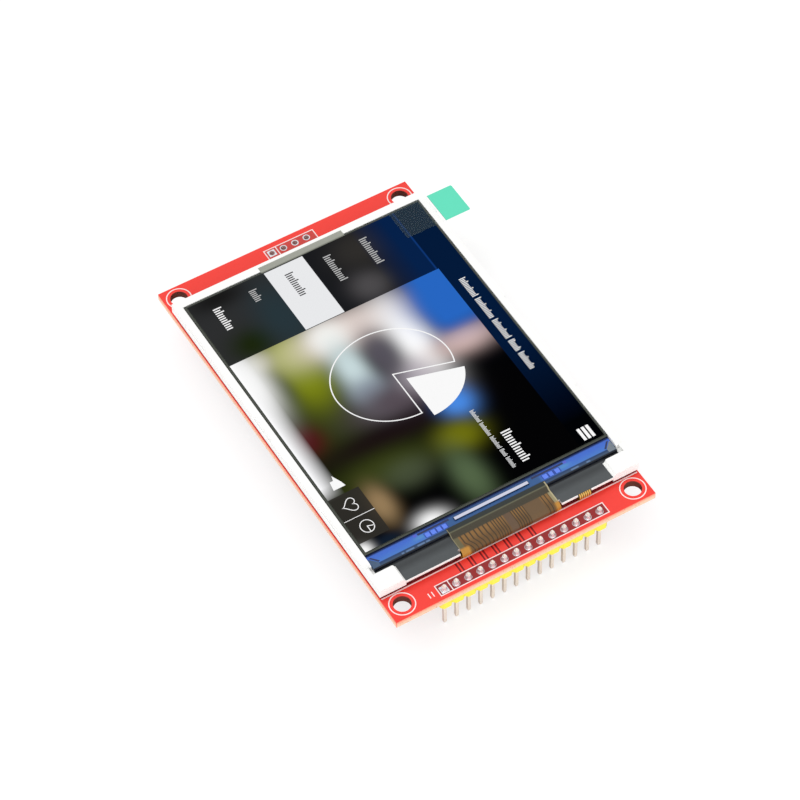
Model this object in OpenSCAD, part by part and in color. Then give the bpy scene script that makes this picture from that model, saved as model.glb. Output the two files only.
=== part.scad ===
// Colour display module: a liquid crystal panel with its backlight, stuck to a printed
// circuit board that has a pin header, a memory card socket and four screw holes.
// The origin is the centre of the screw holes on the board's underside. +X runs along the
// pin row, +Y away from it, and +Z points out of the screen.

/* [Circuit board] */
// Width of the board, along the pin row
board_w = 55.04; // [55.04:0.01:70]
// Length of the board, across the pin row
board_l = 89.3; // [88.5:0.1:110]
// Thickness of the board
board_t = 1.6; // [1:0.1:2.4]
// Diameter of the screw holes
hole_d = 3.4; // [2.2:0.1:4]
// Screw hole centre to each edge of the board
hole_inset = 3.0; // [2.6:0.1:3.4]
// Play between a pin's corners and its drilled hole
lead_play = 0.06; // [0.04:0.01:0.12]

/* [Pin header] */
// Number of pins in the header
pin_count = 14; // [2:1:16]
// Distance from pin to pin
pitch = 2.54; // [2:0.01:2.54]
// Side of the square pins
pin_side = 0.64; // [0.5:0.01:0.65]
// Length of one pin
pin_len = 11.6; // [9:0.1:15]
// Length of pin above the board
pin_rise = 1.4; // [1.1:0.1:2]
// Taper length at each end of a pin
pin_point = 0.4; // [0.1:0.05:0.6]
// Pin row to the near edge of the board
pin_inset = 1.8; // [1.3:0.1:2]
// Height of the moulded strip
strip_h = 2.54; // [1.5:0.01:4]
// Depth of the moulded strip, across the pin row
strip_w = 2.5; // [2:0.1:2.6]
// Depth of the notches between the strip's segments
strip_notch = 0.55; // [0.2:0.05:0.8]
// Radius of a solder joint where it meets the board
solder_r = 0.7; // [0.6:0.01:0.9]
// Thickness of the solder on a pin's corners at the top of its joint
solder_skin = 0.02; // [0.01:0.01:0.05]
// Height of a solder joint above the board
solder_h = 0.85; // [0.4:0.05:1]
// Number of bare holes in the card header at the far end
card_hole_count = 4; // [1:1:8]
// Card header row to the far edge of the board
card_hole_inset = 2.45; // [1.5:0.05:3]

/* [Foam tape] */
// Thickness of the foam tape between board and backlight
foam_t = 0.7; // [0.5:0.1:1.2]
// Width of a foam tape strip
foam_w = 7; // [3:0.5:8]
// Side of the backlight to the foam tape
foam_inset = 1.2; // [0.5:0.1:2]
// Bare length of backlight beyond each end of the foam tape
foam_end = 6; // [3:0.5:15]

/* [Backlight frame] */
// Thickness of the frame's side walls beside the glass
side_wall = 1.495; // [1:0.005:1.7]
// Thickness of the frame's far wall beyond the glass
far_wall = 1.75; // [1:0.05:2]
// Near edge of the board to the backlight frame
frame_inset = 5.7; // [5.4:0.1:6]
// Height of the rim above the corner posts
post_drop = 0.3; // [0.1:0.05:0.5]
// Width of a corner post at its top
post_w = 5.0; // [3.5:0.1:6]
// Slope of a post's inner wall, measured along X
post_slope = 0.5; // [0.2:0.1:0.8]
// Length of a corner post, up to the glass pocket
post_l = 3.85; // [3:0.05:4.3]
// Cut corner of each post beside the glass
post_chamfer = 0.2; // [0.1:0.1:1.2]
// Width of the relief at each near corner of the glass pocket
relief_w = 0.6; // [0.3:0.1:0.8]
// Length of the same relief
relief_l = 1.6; // [0.8:0.1:2]
// Overhang at the underside of the near wall, which lets the tails pass
rebate_depth = 1.2; // [0.5:0.1:1.5]
// Height of the same overhang
rebate_h = 0.6; // [0.2:0.05:0.65]
// Length of a latch recess in the side walls
latch_l = 7; // [3:0.5:10]
// Depth of a latch recess
latch_depth = 0.3; // [0.1:0.05:0.5]
// Depth of a latch recess below the rim
latch_h = 1.1; // [0.5:0.1:1.5]
// Distance from latch to latch
latch_pitch = 25.1; // [15:0.1:28]
// Near edge of the frame to the middle latch
latch_middle = 42.9; // [38:0.1:44]
// Near edge of the frame to where the posts give way to the rim
rim_start = 5.4; // [4:0.1:7]
// Length of the ramp from the posts up to the rim
rim_ramp = 0.9; // [0.3:0.1:1.5]
// Gap round the glass and round the light guide
seat_gap = 0.15; // [0.05:0.01:0.2]
// Play between the rim and the top of the glass
glass_drop = 0.05; // [0.02:0.01:0.1]

/* [Backlight sheets] */
// Thickness of the reflector sheet under the frame
reflector_t = 0.1; // [0.05:0.01:0.2]
// Margin of the reflector sheet inside the frame's outline
reflector_margin = 0.5; // [0.2:0.1:1]
// Side of the glass to the side of the light guide
guide_margin = 1.075; // [0.9:0.005:1.5]
// Far edge of the polarisers to the light guide's
guide_inset = 0.4; // [0.2:0.1:1]
// Thickness of the light guide
guide_t = 0.8; // [0.7:0.05:1.2]
// Play between the sheets and the glass
sheet_play = 0.01; // [0.01:0.01:0.1]
// Length of a locating ear on the light guide
ear_l = 3; // [1:0.5:6]
// Reach of a locating ear
ear_reach = 0.5; // [0.2:0.05:0.7]
// Light guide's near edge to the nearer pair of ears
ear_inset = 12; // [5:1:20]
// Thickness of the diffuser and of each prism sheet
sheet_t = 0.07; // [0.05:0.005:0.07]
// Thickness of the black rim tape
tape_t = 0.08; // [0.05:0.01:0.1]
// Bare edge of near wall in front of the rim tape
tape_inset = 0.15; // [0.1:0.05:0.5]

/* [Lamps] */
// Near edge of the frame to the lamps
led_inset = 5.65; // [5:0.05:6.5]
// Number of white lamps along the light guide
led_count = 6; // [2:1:9]
// Length of a lamp
led_l = 3.8; // [2:0.1:4]
// Depth of a lamp
led_w = 1.0; // [0.6:0.1:1.1]
// Height of a lamp
led_h = 0.8; // [0.6:0.05:0.85]
// Distance from lamp to lamp
led_pitch = 8; // [4.5:0.1:8.4]
// Gap between the lamps and the light guide
led_gap = 0.1; // [0.05:0.05:0.2]
// Width of the lamps' flexible circuit strip
led_flex_w = 3.0; // [1.6:0.1:3.2]
// Length of the lamps' flexible circuit strip
led_flex_l = 46; // [45:0.5:48.5]
// Width of the tail of the lamps' circuit
led_tail_w = 2.6; // [1:0.1:3]
// Middle of the module to the tail of the lamps' circuit
led_tail_x = 15.8; // [12.5:0.1:16]

/* [Glass] */
// Width of both glass plates
glass_w = 51.75; // [51.2:0.05:52.2]
// Length of the lower plate, which carries the transistors
glass_l = 71.1; // [70.4:0.1:71.1]
// Thickness of each glass plate
glass_t = 0.5; // [0.3:0.05:0.55]
// Near edge of the frame to the lower plate
glass_inset = 4.7; // [4.5:0.1:4.9]
// Length of the ledge that the upper plate leaves bare
ledge_l = 3.35; // [3:0.05:4]
// Bare glass beside the front polariser
polariser_side = 0.425; // [0.2:0.005:1.5]
// Bare glass beyond the front polariser
polariser_end = 0.5; // [0.2:0.05:1.5]
// Near edge of the upper plate to the polarisers
polariser_inset = 0.45; // [0.1:0.05:0.7]
// Thickness of a polariser
polariser_t = 0.13; // [0.1:0.01:0.15]
// Length of the driver chip
chip_l = 15.8; // [8:0.1:20]
// Depth of the driver chip
chip_w = 0.75; // [0.5:0.05:0.9]
// Height of the driver chip
chip_h = 0.3; // [0.2:0.05:0.4]
// Ledge's near edge to the driver chip
chip_inset = 1.75; // [1.2:0.05:1.9]

/* [Films and tapes on the screen] */
// Thickness of the clear film that protects the screen
film_t = 0.06; // [0.04:0.01:0.1]
// Thickness of the tapes
sticker_t = 0.06; // [0.04:0.01:0.1]
// Length of the pull tab
tab_l = 14.2; // [8:0.1:20]
// Width of the pull tab
tab_w = 7.3; // [4:0.1:12]
// Reach of the pull tab past the frame
tab_reach = 5.7; // [2:0.1:8]
// Far edge of the frame to the pull tab
tab_inset = 2.1; // [1:0.1:30]
// Corner radius of the pull tab
tab_r = 0.3; // [0.2:0.1:2]
// Length of the grey tape at the far edge
edge_tape_l = 18.3; // [5:0.1:40]
// Width of the grey tape at the far edge
edge_tape_w = 1.55; // [0.8:0.05:2]
// Gap between the screen film and the grey tape
edge_tape_gap = 0.05; // [0.02:0.01:0.2]

/* [Display cable] */
// Width of the display's flexible circuit
flex_w = 20.9; // [12:0.1:24]
// Middle of the module to the middle of the flexible circuit
flex_x = 0.13; // [-1:0.01:1]
// Thickness of the flexible circuits
flex_t = 0.1; // [0.05:0.01:0.15]
// Length of flexible circuit bonded to the glass ledge
flex_bond = 1.0; // [0.8:0.05:1.1]
// Radius of the two bends where the circuit steps off the glass
step_r = 0.75; // [0.4:0.05:0.8]
// Reach of the fold in front of the frame
fold_reach = 0.3; // [0.2:0.05:0.5]
// Length of flexible circuit under the backlight
flex_return = 8; // [3:0.5:12]
// Gap between the fold and the frame's notch
notch_gap = 0.35; // [0.3:0.05:0.6]
// Number of soldered fingers on the display's circuit
finger_count = 18; // [6:1:24]
// Distance from finger to finger
finger_pitch = 1.0; // [0.5:0.05:1.1]
// Width of a soldered finger
finger_w = 0.5; // [0.2:0.05:0.6]
// Length of the solder past the end of the circuit
finger_l = 1.0; // [0.5:0.1:2]

/* [Card socket] */
// Width of the plastic rail at each side of the slot
rail_w = 1.6; // [1.2:0.1:3]
// Depth of the card socket, across the board
socket_l = 24; // [18:0.5:28]
// Height of the slot for the card
slot_h = 2.2; // [2.15:0.05:2.6]
// Side of the board to the mouth of the socket
socket_inset = 0.6; // [0.3:0.1:3]
// Middle of the board to the middle of the socket
socket_y = 14; // [4:0.5:20]
// Width of the slot for the card
slot_w = 24.4; // [24.2:0.1:25]
// Thickness of the socket's sheet metal
shell_t = 0.2; // [0.15:0.01:0.3]
// Thickness of the socket's plastic floor
socket_floor_t = 0.4; // [0.3:0.05:0.6]
// Depth of the contact block at the back of the socket
block_l = 5; // [4:0.5:7]
// Number of contacts in the card socket
contact_count = 9; // [7:1:9]
// Distance from contact to contact
contact_pitch = 2.5; // [2.4:0.05:2.55]
// Width of a contact
contact_w = 0.9; // [0.5:0.1:1.2]
// Thickness of a contact
contact_t = 0.15; // [0.1:0.01:0.2]
// Length of a contact in front of its block
contact_reach = 7; // [4:0.5:9]
// Play at each side of a contact's arm in its room in the floor
contact_room = 0.2; // [0.1:0.05:0.4]
// Height of a contact's crest above the board while no card is in
contact_crest = 1.35; // [0.9:0.05:1.8]
// Outer radius of a contact's crest
crest_r = 0.5; // [0.3:0.05:0.8]
// Length of a contact's arm beyond the middle of its crest
contact_tip = 1.2; // [0.6:0.1:1.6]
// Length of a contact's flat part in front of its block
contact_flat = 0.4; // [0.2:0.1:1]
// Length of a contact's soldered foot
contact_foot = 1.2; // [0.6:0.1:2]
// Diameter of the socket's locating pegs
peg_d = 1.0; // [0.6:0.1:1.4]
// Length of the locating pegs
peg_l = 1.2; // [0.5:0.1:1.5]
// Gap round the locating pegs
peg_gap = 0.05; // [0.03:0.01:0.1]
// Back of the socket's plastic that the sheet metal leaves bare
shell_inset = 1; // [0.5:0.1:2]
// Length of a soldered foot of the sheet metal
foot_l = 1.8; // [1:0.1:3]
// Reach of a soldered foot beside the socket
foot_reach = 1.2; // [0.6:0.1:2]
// Ends of the sheet metal to its feet
foot_inset = 1.5; // [1:0.1:5]
// Length of a spring tongue in the sheet metal
tongue_l = 8; // [4:0.5:10]
// Width of a spring tongue
tongue_w = 2.4; // [1.5:0.1:4]
// Width of the slit round a spring tongue
tongue_slit = 0.5; // [0.3:0.1:1]
// Contact block to the root of the spring tongues
tongue_inset = 3; // [1:0.5:6]
// Middle of the slot to the middle of a spring tongue
tongue_y = 8.1; // [4:0.1:9]
// Radius of the thumb cut at the mouth
thumb_r = 9; // [6:0.5:11]
// Depth of the thumb cut
thumb_depth = 2.2; // [0.5:0.1:4]
// Length of the inspection window over the contact block
window_l = 12.2; // [4:0.1:18]
// Depth of the inspection window
window_d = 1.6; // [1:0.1:2.2]

/* [Small parts on the underside] */
// Distance between neighbouring small parts
part_step = 3.0; // [2.7:0.1:3.5]
// Pin row to the row of small parts
row_gap = 6.2; // [4:0.1:12]
// Back of the card socket to the column of small parts
column_gap = 6.4; // [4:0.1:10]
// Length of a chip resistor or capacitor
chip_part_l = 1.6; // [1:0.1:2]
// Width of a chip resistor or capacitor
chip_part_w = 0.8; // [0.5:0.05:1.2]
// Height of a chip resistor
resistor_h = 0.45; // [0.3:0.05:0.6]
// Height of a chip capacitor
capacitor_h = 0.8; // [0.5:0.05:1]
// Length of the metal cap at each end of a chip part
cap_l = 0.3; // [0.2:0.05:0.4]
// Thickness of those metal caps
cap_t = 0.02; // [0.01:0.01:0.04]
// Length of a three-legged package
package_l = 2.9; // [2:0.1:3.2]
// Width of its body
package_w = 1.3; // [1:0.1:1.6]
// Height of its body
package_h = 1.0; // [0.8:0.05:1.2]
// Distance between the outer leads
lead_pitch = 1.9; // [1.4:0.1:2]
// Width of a lead
lead_w = 0.4; // [0.3:0.05:0.5]
// Thickness of a lead
lead_t = 0.12; // [0.1:0.01:0.2]
// Reach of a lead from the body
lead_reach = 0.55; // [0.4:0.05:0.8]
// Length of a lead inside the body
lead_root = 0.2; // [0.1:0.05:0.4]
// Slope of the moulded body's sides, from its middle to its faces
draft = 0.08; // [0.02:0.01:0.15]
// Gap between the moulded body and the board
stand_off = 0.08; // [0.02:0.01:0.11]

/* [Hidden] */

$fn = 48;
bite = 1;
hair = 0.01;
arc_steps = 12;

near_y = -board_l / 2;
far_y = board_l / 2;
pin_y = near_y + pin_inset;
pin_tip_z = board_t + pin_rise - pin_len;
lead_hole_d = pin_side * sqrt(2) + 2 * lead_play;
solder_top_r = pin_side / sqrt(2) + solder_skin;
card_hole_y = far_y - card_hole_inset;

// Levels of the stack, from the board up
frame_z = board_t + foam_t + reflector_t;
sheets_z = frame_z + guide_t;
glass_z = sheets_z + 3 * sheet_t + sheet_play + polariser_t;
tape_z = glass_z - tape_t;
filter_z = glass_z + glass_t;
screen_z = filter_z + glass_t;
rim_z = screen_z + glass_drop;
post_z = rim_z - post_drop;
film_z = screen_z + polariser_t;
tab_z = film_z + film_t;
lamp_flex_z = tape_z - flex_t;

// Places along the board
frame_y0 = near_y + frame_inset;
glass_y0 = frame_y0 + glass_inset;
glass_y1 = glass_y0 + glass_l;
pocket_y0 = frame_y0 + post_l;
frame_y1 = glass_y1 + seat_gap + far_wall;
frame_w = glass_w + 2 * (seat_gap + side_wall);
ledge_y = glass_y0 + ledge_l;
screen_y0 = ledge_y + polariser_inset;
screen_y1 = glass_y1 - polariser_end;
polariser_w = glass_w - 2 * polariser_side;
lamp_y = frame_y0 + led_inset;
guide_y0 = lamp_y + led_w + led_gap;
guide_y1 = screen_y1 - guide_inset;
guide_w = glass_w - 2 * guide_margin;
window_w = guide_w + 2 * seat_gap;
tape_y0 = frame_y0 + tape_inset;
lamp_flex_y0 = lamp_y - (led_flex_w - led_w) / 2;

sheets_y0 = lamp_flex_y0 + led_flex_w + seat_gap;
recess_w = frame_w - 2 * (post_w + post_slope);

// The display's circuit folds round the near wall and returns along the board
fold_y = frame_y0 - fold_reach;
fold_r = (glass_z + flex_t - board_t) / 2;
fold_c = [fold_y + fold_r, board_t + fold_r];
step_turn = acos(1 - glass_t / (2 * step_r + flex_t));
step_run = (2 * step_r + flex_t) * sin(step_turn);
notch_w = flex_w + 2 * notch_gap;
notch_y = fold_c[0] + notch_gap;

// The lamps' tail does the same from under the rim tape
tail_r = (tape_z - board_t) / 2;
tail_c = [fold_y + tail_r, board_t + tail_r];
tail_notch_w = led_tail_w + 2 * seat_gap;
tail_notch_y = tail_c[0] + notch_gap;

// Card socket, which opens towards +X on the underside
mouth_x = board_w / 2 - socket_inset;
back_x = mouth_x - socket_l;
block_x = back_x + block_l;
socket_inner_w = slot_w + 2 * rail_w;
socket_w = socket_inner_w + 2 * shell_t;
slot_ceiling_z = -socket_floor_t - slot_h;
socket_h = shell_t - slot_ceiling_z;
peg_x = back_x + block_l / 2;
peg_y = (slot_w + rail_w) / 2;
shell_bend_r = 2 * shell_t;

// Small parts on the underside, one row by the header and one column by the socket
row_y = pin_y + row_gap;
column_x = back_x - column_gap;
column_y = socket_y - socket_w / 2;

function pin_x(i) = (i - (pin_count + 1) / 2) * pitch;
function lamp_x(i) = (i - (led_count + 1) / 2) * led_pitch;
function mirror_list(v) = [for (i = [len(v) - 1 : -1 : 0]) v[i]];
function arc(c, r, a0, a1) =
    [for (k = [0 : arc_steps]) let (a = a0 + (a1 - a0) * k / arc_steps) c + r * [cos(a), sin(a)]];

module block(x0, x1, y0, y1, z0, z1)
    translate([x0, y0, z0])
    cube([x1 - x0, y1 - y0, z1 - z0]);

module middle_block(w, y0, y1, z0, z1)
    block(-w / 2, w / 2, y0, y1, z0, z1);

// Turns an outline drawn in Y and Z into a strip that runs along X
module across(x, w)
    translate([x - w / 2, 0, 0])
    rotate([90, 0, 90])
    linear_extrude(w)
    children();

// Turns an outline drawn in X and Z into a strip that runs along Y
module along(y, w)
    translate([0, y + w / 2, 0])
    rotate([90, 0, 0])
    linear_extrude(w)
    children();

module rounded_square(size, r) {
    translate([r, 0])
    square([size[0] - 2 * r, size[1]]);
    translate([0, r])
    square([size[0], size[1] - 2 * r]);
    for (x = [r, size[0] - r], y = [r, size[1] - r])
        translate([x, y])
        circle(r);
}

module drill(x, y, d)
    translate([x, y, -bite])
    cylinder(h = board_t + 2 * bite, d = d);

module in_row(k)
    translate([k * part_step, row_y, 0])
    rotate(90)
    children();

module in_column(k)
    translate([column_x, column_y + k * part_step, 0])
    children();

// ---- Circuit board and its header ----

module circuit_board() {
    color("firebrick")
    difference() {
        middle_block(board_w, near_y, far_y, 0, board_t);
        for (sx = [-1, 1], sy = [-1, 1])
            drill(sx * (board_w / 2 - hole_inset), sy * (board_l / 2 - hole_inset), hole_d);
        for (i = [1 : pin_count])
            drill(pin_x(i), pin_y, lead_hole_d);
        for (i = [1 : card_hole_count])
            drill((i - (card_hole_count + 1) / 2) * pitch, card_hole_y, lead_hole_d);
        for (s = [-1, 1])
            drill(peg_x, socket_y + s * peg_y, peg_d + 2 * peg_gap);
    }
}

module strip_segment() {
    half = pitch / 2;
    depth = strip_w / 2;
    flat = depth - strip_notch;
    shoulder = half - strip_notch;
    polygon([
        [-half, -flat], [-shoulder, -depth], [shoulder, -depth], [half, -flat],
        [half, flat], [shoulder, depth], [-shoulder, depth], [-half, flat]
    ]);
}

module header_strip() {
    color("gold")
    translate([0, pin_y, -strip_h])
    difference() {
        linear_extrude(strip_h)
        for (i = [1 : pin_count])
            translate([pin_x(i), 0])
            strip_segment();
        for (i = [1 : pin_count])
            translate([pin_x(i) - pin_side / 2, -pin_side / 2, -bite])
            cube([pin_side, pin_side, strip_h + 2 * bite]);
    }
}

module pin_outline() {
    half = pin_side / 2;
    tip = half / 2;
    polygon([
        [-tip, 0], [tip, 0], [half, pin_point], [half, pin_len - pin_point],
        [tip, pin_len], [-tip, pin_len], [-half, pin_len - pin_point], [-half, pin_point]
    ]);
}

module header_pin(i) {
    color("gainsboro")
    translate([pin_x(i), pin_y, pin_tip_z])
    intersection() {
        along(0, pin_side) pin_outline();
        across(0, pin_side) pin_outline();
    }
}

// A solder joint climbs the pin in a hollow curve and fills the hole round it
module solder_joint() {
    spread = solder_r - solder_top_r;
    hollow = (solder_h * solder_h - spread * spread) / (2 * spread);
    difference() {
        union() {
            rotate_extrude()
            difference() {
                square([solder_r, solder_h]);
                translate([solder_r + hollow, solder_h])
                circle(r = spread + hollow, $fn = 96);
            }
            translate([0, 0, -board_t])
            cylinder(h = board_t, d = lead_hole_d - 2 * hair);
        }
        translate([-pin_side / 2, -pin_side / 2, -board_t - bite])
        cube([pin_side, pin_side, board_t + solder_h + 2 * bite]);
    }
}

module header_solder() {
    color("silver")
    for (i = [1 : pin_count])
        translate([pin_x(i), pin_y, board_t])
        solder_joint();
}

// ---- Backlight ----

module foam_tape(side) {
    color("whitesmoke")
    translate([side * (frame_w / 2 - foam_inset - foam_w / 2), 0, 0])
    middle_block(foam_w, frame_y0 + foam_end, frame_y1 - foam_end, board_t, board_t + foam_t);
}

// Room between the posts, with sloped walls and cut corners beside the glass
module near_recess() {
    top = recess_w / 2 + post_slope;
    translate([0, frame_y0 - bite, 0])
    rotate([90, 0, 180])
    linear_extrude(post_l + bite)
    polygon([
        [-recess_w / 2, tape_z], [recess_w / 2, tape_z], [top, post_z], [top, rim_z + bite],
        [-top, rim_z + bite], [-top, post_z]
    ]);
    translate([0, 0, tape_z])
    linear_extrude(rim_z)
    polygon([
        [top, pocket_y0 - post_chamfer], [top + post_chamfer, pocket_y0],
        [-top - post_chamfer, pocket_y0], [-top, pocket_y0 - post_chamfer]
    ]);
}

module backlight_frame() {
    glass_pocket_w = glass_w + 2 * seat_gap;
    ear_pocket_w = guide_w + 2 * (ear_reach + seat_gap);
    side = frame_w / 2;
    color("white")
    difference() {
        middle_block(frame_w, frame_y0, frame_y1, frame_z, rim_z);
        across(0, frame_w + 2 * bite)
        polygon([
            [frame_y0 - bite, post_z], [frame_y0 + rim_start, post_z],
            [frame_y0 + rim_start + rim_ramp, rim_z + hair], [frame_y0 - bite, rim_z + hair]
        ]);
        middle_block(glass_pocket_w, pocket_y0, glass_y1 + seat_gap, tape_z, rim_z + bite);
        middle_block(glass_pocket_w + 2 * relief_w, pocket_y0, pocket_y0 + relief_l, tape_z, rim_z + bite);
        near_recess();
        middle_block(window_w, guide_y0 - seat_gap, guide_y1 + seat_gap, frame_z - bite, rim_z);
        for (y = ear_ys())
            middle_block(ear_pocket_w, y - ear_l / 2 - seat_gap, y + ear_l / 2 + seat_gap,
                         frame_z - bite, sheets_z + hair);
        // Seats of the lamps, of their circuit and of its tail
        for (i = [1 : led_count])
            translate([lamp_x(i), 0, 0])
            middle_block(led_l + 2 * seat_gap, lamp_y - seat_gap, guide_y0, frame_z - bite, tape_z + hair);
        middle_block(led_flex_l + 2 * seat_gap, lamp_flex_y0 - seat_gap, guide_y0, lamp_flex_z, rim_z);
        translate([led_tail_x, 0, 0]) {
            middle_block(tail_notch_w, frame_y0 - bite, lamp_y, lamp_flex_z, rim_z);
            middle_block(tail_notch_w, frame_y0 - bite, tail_notch_y, frame_z - bite, rim_z);
        }
        // Room for the fold of the display's circuit, and the overhang beside it
        translate([flex_x, 0, 0])
        middle_block(notch_w, frame_y0 - bite, notch_y, frame_z - bite, rim_z);
        middle_block(recess_w, frame_y0 - bite, frame_y0 + rebate_depth, frame_z - bite, frame_z + rebate_h);
        for (s = [-1, 1], k = [-1, 0, 1])
            translate([s * side, frame_y0 + latch_middle + k * latch_pitch, 0])
            middle_block(2 * latch_depth, -latch_l / 2, latch_l / 2, rim_z - latch_h, rim_z + bite);
    }
}

function ear_ys() = [guide_y0 + ear_inset, guide_y1 - ear_inset];

module reflector_sheet() {
    color("white")
    middle_block(frame_w - 2 * reflector_margin, frame_y0 + rebate_depth + reflector_margin,
                 frame_y1 - reflector_margin, frame_z - reflector_t, frame_z);
}

module light_guide() {
    color("lightcyan", 0.5) {
        middle_block(guide_w, guide_y0, guide_y1, frame_z, sheets_z);
        for (y = ear_ys())
            middle_block(guide_w + 2 * ear_reach, y - ear_l / 2, y + ear_l / 2, frame_z, sheets_z);
    }
}

module optical_sheet(level)
    middle_block(guide_w, sheets_y0, guide_y1, sheets_z + level * sheet_t, sheets_z + (level + 1) * sheet_t);

module diffuser_sheet() {
    color("white")
    optical_sheet(0);
}

module lower_prism_sheet() {
    color("ghostwhite", 0.6)
    optical_sheet(1);
}

module upper_prism_sheet() {
    color("ghostwhite", 0.6)
    optical_sheet(2);
}

module lamp(i) {
    color("lightyellow")
    translate([lamp_x(i), 0, 0])
    middle_block(led_l, lamp_y, lamp_y + led_w, lamp_flex_z - led_h, lamp_flex_z);
}

// One edge of the tail's side view, d away from its lower face
function tail_edge(d) = concat(
    [[lamp_flex_y0, lamp_flex_z + d]],
    arc(tail_c, tail_r - flex_t + d, 90, 270),
    [[tail_c[0] + flex_return, board_t + flex_t - d]]
);

module lamp_flex() {
    color("goldenrod") {
        middle_block(led_flex_l, lamp_flex_y0, lamp_flex_y0 + led_flex_w, lamp_flex_z, tape_z);
        across(led_tail_x, led_tail_w)
        polygon(concat(tail_edge(flex_t), mirror_list(tail_edge(0))));
    }
}

module rim_tape() {
    color("dimgray")
    difference() {
        union() {
            middle_block(recess_w, tape_y0, pocket_y0, tape_z, glass_z);
            middle_block(glass_w, pocket_y0, glass_y1, tape_z, glass_z);
        }
        middle_block(window_w, sheets_y0, guide_y1 + seat_gap, tape_z - bite, glass_z + bite);
        translate([flex_x, 0, 0])
        middle_block(notch_w, frame_y0, notch_y, tape_z - bite, glass_z + bite);
    }
}

// ---- Liquid crystal cell ----

module rear_polariser() {
    color("dimgray")
    middle_block(guide_w, sheets_y0 + seat_gap, guide_y1, glass_z - polariser_t, glass_z);
}

module array_glass() {
    color("steelblue")
    middle_block(glass_w, glass_y0, glass_y1, glass_z, filter_z);
}

module filter_glass() {
    color("darkslategray")
    middle_block(glass_w, ledge_y, glass_y1, filter_z, screen_z);
}

module front_polariser() {
    color("black")
    middle_block(polariser_w, screen_y0, screen_y1, screen_z, film_z);
}

module screen_film() {
    color("lightgray", 0.3)
    middle_block(polariser_w, screen_y0, screen_y1, film_z, tab_z);
}

module pull_tab() {
    color("mediumaquamarine")
    translate([frame_w / 2 + tab_reach - tab_l, frame_y1 - tab_inset - tab_w, tab_z])
    linear_extrude(sticker_t)
    rounded_square([tab_l, tab_w], tab_r);
}

module edge_tape() {
    color("darkgray", 0.6)
    translate([0, screen_y1 + edge_tape_gap, rim_z])
    middle_block(edge_tape_l, 0, edge_tape_w, 0, sticker_t);
}

module driver_chip() {
    color("lightsteelblue")
    middle_block(chip_l, glass_y0 + chip_inset, glass_y0 + chip_inset + chip_w, filter_z, filter_z + chip_h);
}

// One edge of the display circuit's side view, d away from its lower face
function flex_edge(d) = concat(
    [[glass_y0 + flex_bond, filter_z + d]],
    arc([glass_y0, filter_z - step_r], step_r + d, 90, 90 + step_turn),
    arc([glass_y0 - step_run, glass_z + flex_t + step_r], step_r + flex_t - d, 270 + step_turn, 270),
    arc(fold_c, fold_r - flex_t + d, 90, 270),
    [[fold_c[0] + flex_return, board_t + flex_t - d]]
);

module display_flex() {
    color("peru")
    across(flex_x, flex_w)
    polygon(concat(flex_edge(flex_t), mirror_list(flex_edge(0))));
}

module flex_solder() {
    color("silver")
    for (i = [1 : finger_count])
        translate([flex_x + (i - (finger_count + 1) / 2) * finger_pitch, fold_c[0] + flex_return, board_t])
        middle_block(finger_w, 0, finger_l, 0, flex_t);
}

// ---- Card socket on the underside ----

function contact_y(i) = socket_y + (i - (contact_count + 1) / 2) * contact_pitch;

// Inside of the shell seen along the card's way, with its lower edges rounded
module shell_hollow()
    translate([-socket_inner_w / 2, slot_ceiling_z])
    rounded_square([socket_inner_w, 2 * socket_h], shell_bend_r - shell_t);

module socket_base() {
    color("#202020") {
        difference() {
            translate([back_x, socket_y, 0])
            rotate([90, 0, 90])
            linear_extrude(mouth_x - shell_t - back_x)
            shell_hollow();
            block(back_x - bite, mouth_x, socket_y - socket_w, socket_y + socket_w, 0, 2 * socket_h);
            block(block_x, mouth_x, socket_y - slot_w / 2, socket_y + slot_w / 2,
                  -2 * socket_h, -socket_floor_t);
            for (i = [1 : contact_count])
                translate([0, contact_y(i), 0]) {
                    block(back_x - bite, block_x + bite, -contact_w / 2, contact_w / 2, -contact_t, bite);
                    block(block_x, block_x + contact_reach + bite, -contact_w / 2 - contact_room,
                          contact_w / 2 + contact_room, -socket_h, bite);
                }
        }
        for (s = [-1, 1])
            translate([peg_x, socket_y + s * peg_y, -hair])
            cylinder(h = peg_l + hair, d = peg_d);
    }
}

// A spring arm rises from the floor to a rounded bump and dips to its tip
module contact_outline() {
    crest = [block_x + contact_reach - contact_tip, crest_r - contact_crest];
    run = crest[0] - block_x - contact_flat;
    drop = crest[1] - crest_r + contact_t;
    lean = 270 - atan2(-drop, run);
    polygon(concat(
        [[back_x - contact_foot, 0], [back_x - contact_foot, -contact_t], [block_x, -contact_t]],
        arc(crest, crest_r, lean, 300),
        arc(crest, crest_r - contact_t, 300, lean),
        [[block_x + contact_flat, 0]]
    ));
}

module socket_contacts() {
    color("khaki")
    for (i = [1 : contact_count])
        along(contact_y(i), contact_w)
        contact_outline();
}

module shell_profile() {
    half = socket_w / 2;
    difference() {
        translate([-half, -socket_h])
        rounded_square([socket_w, 2 * socket_h], shell_bend_r);
        shell_hollow();
        translate([-half - bite, 0])
        square([socket_w + 2 * bite, socket_h + bite]);
    }
}

module spring_tongue_slit()
    difference() {
        translate([0, -tongue_w / 2 - tongue_slit, 0])
        cube([tongue_l + tongue_slit, tongue_w + 2 * tongue_slit, shell_t + 2 * bite]);
        translate([-bite, -tongue_w / 2, -bite])
        cube([tongue_l + bite, tongue_w, shell_t + 4 * bite]);
    }

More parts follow.
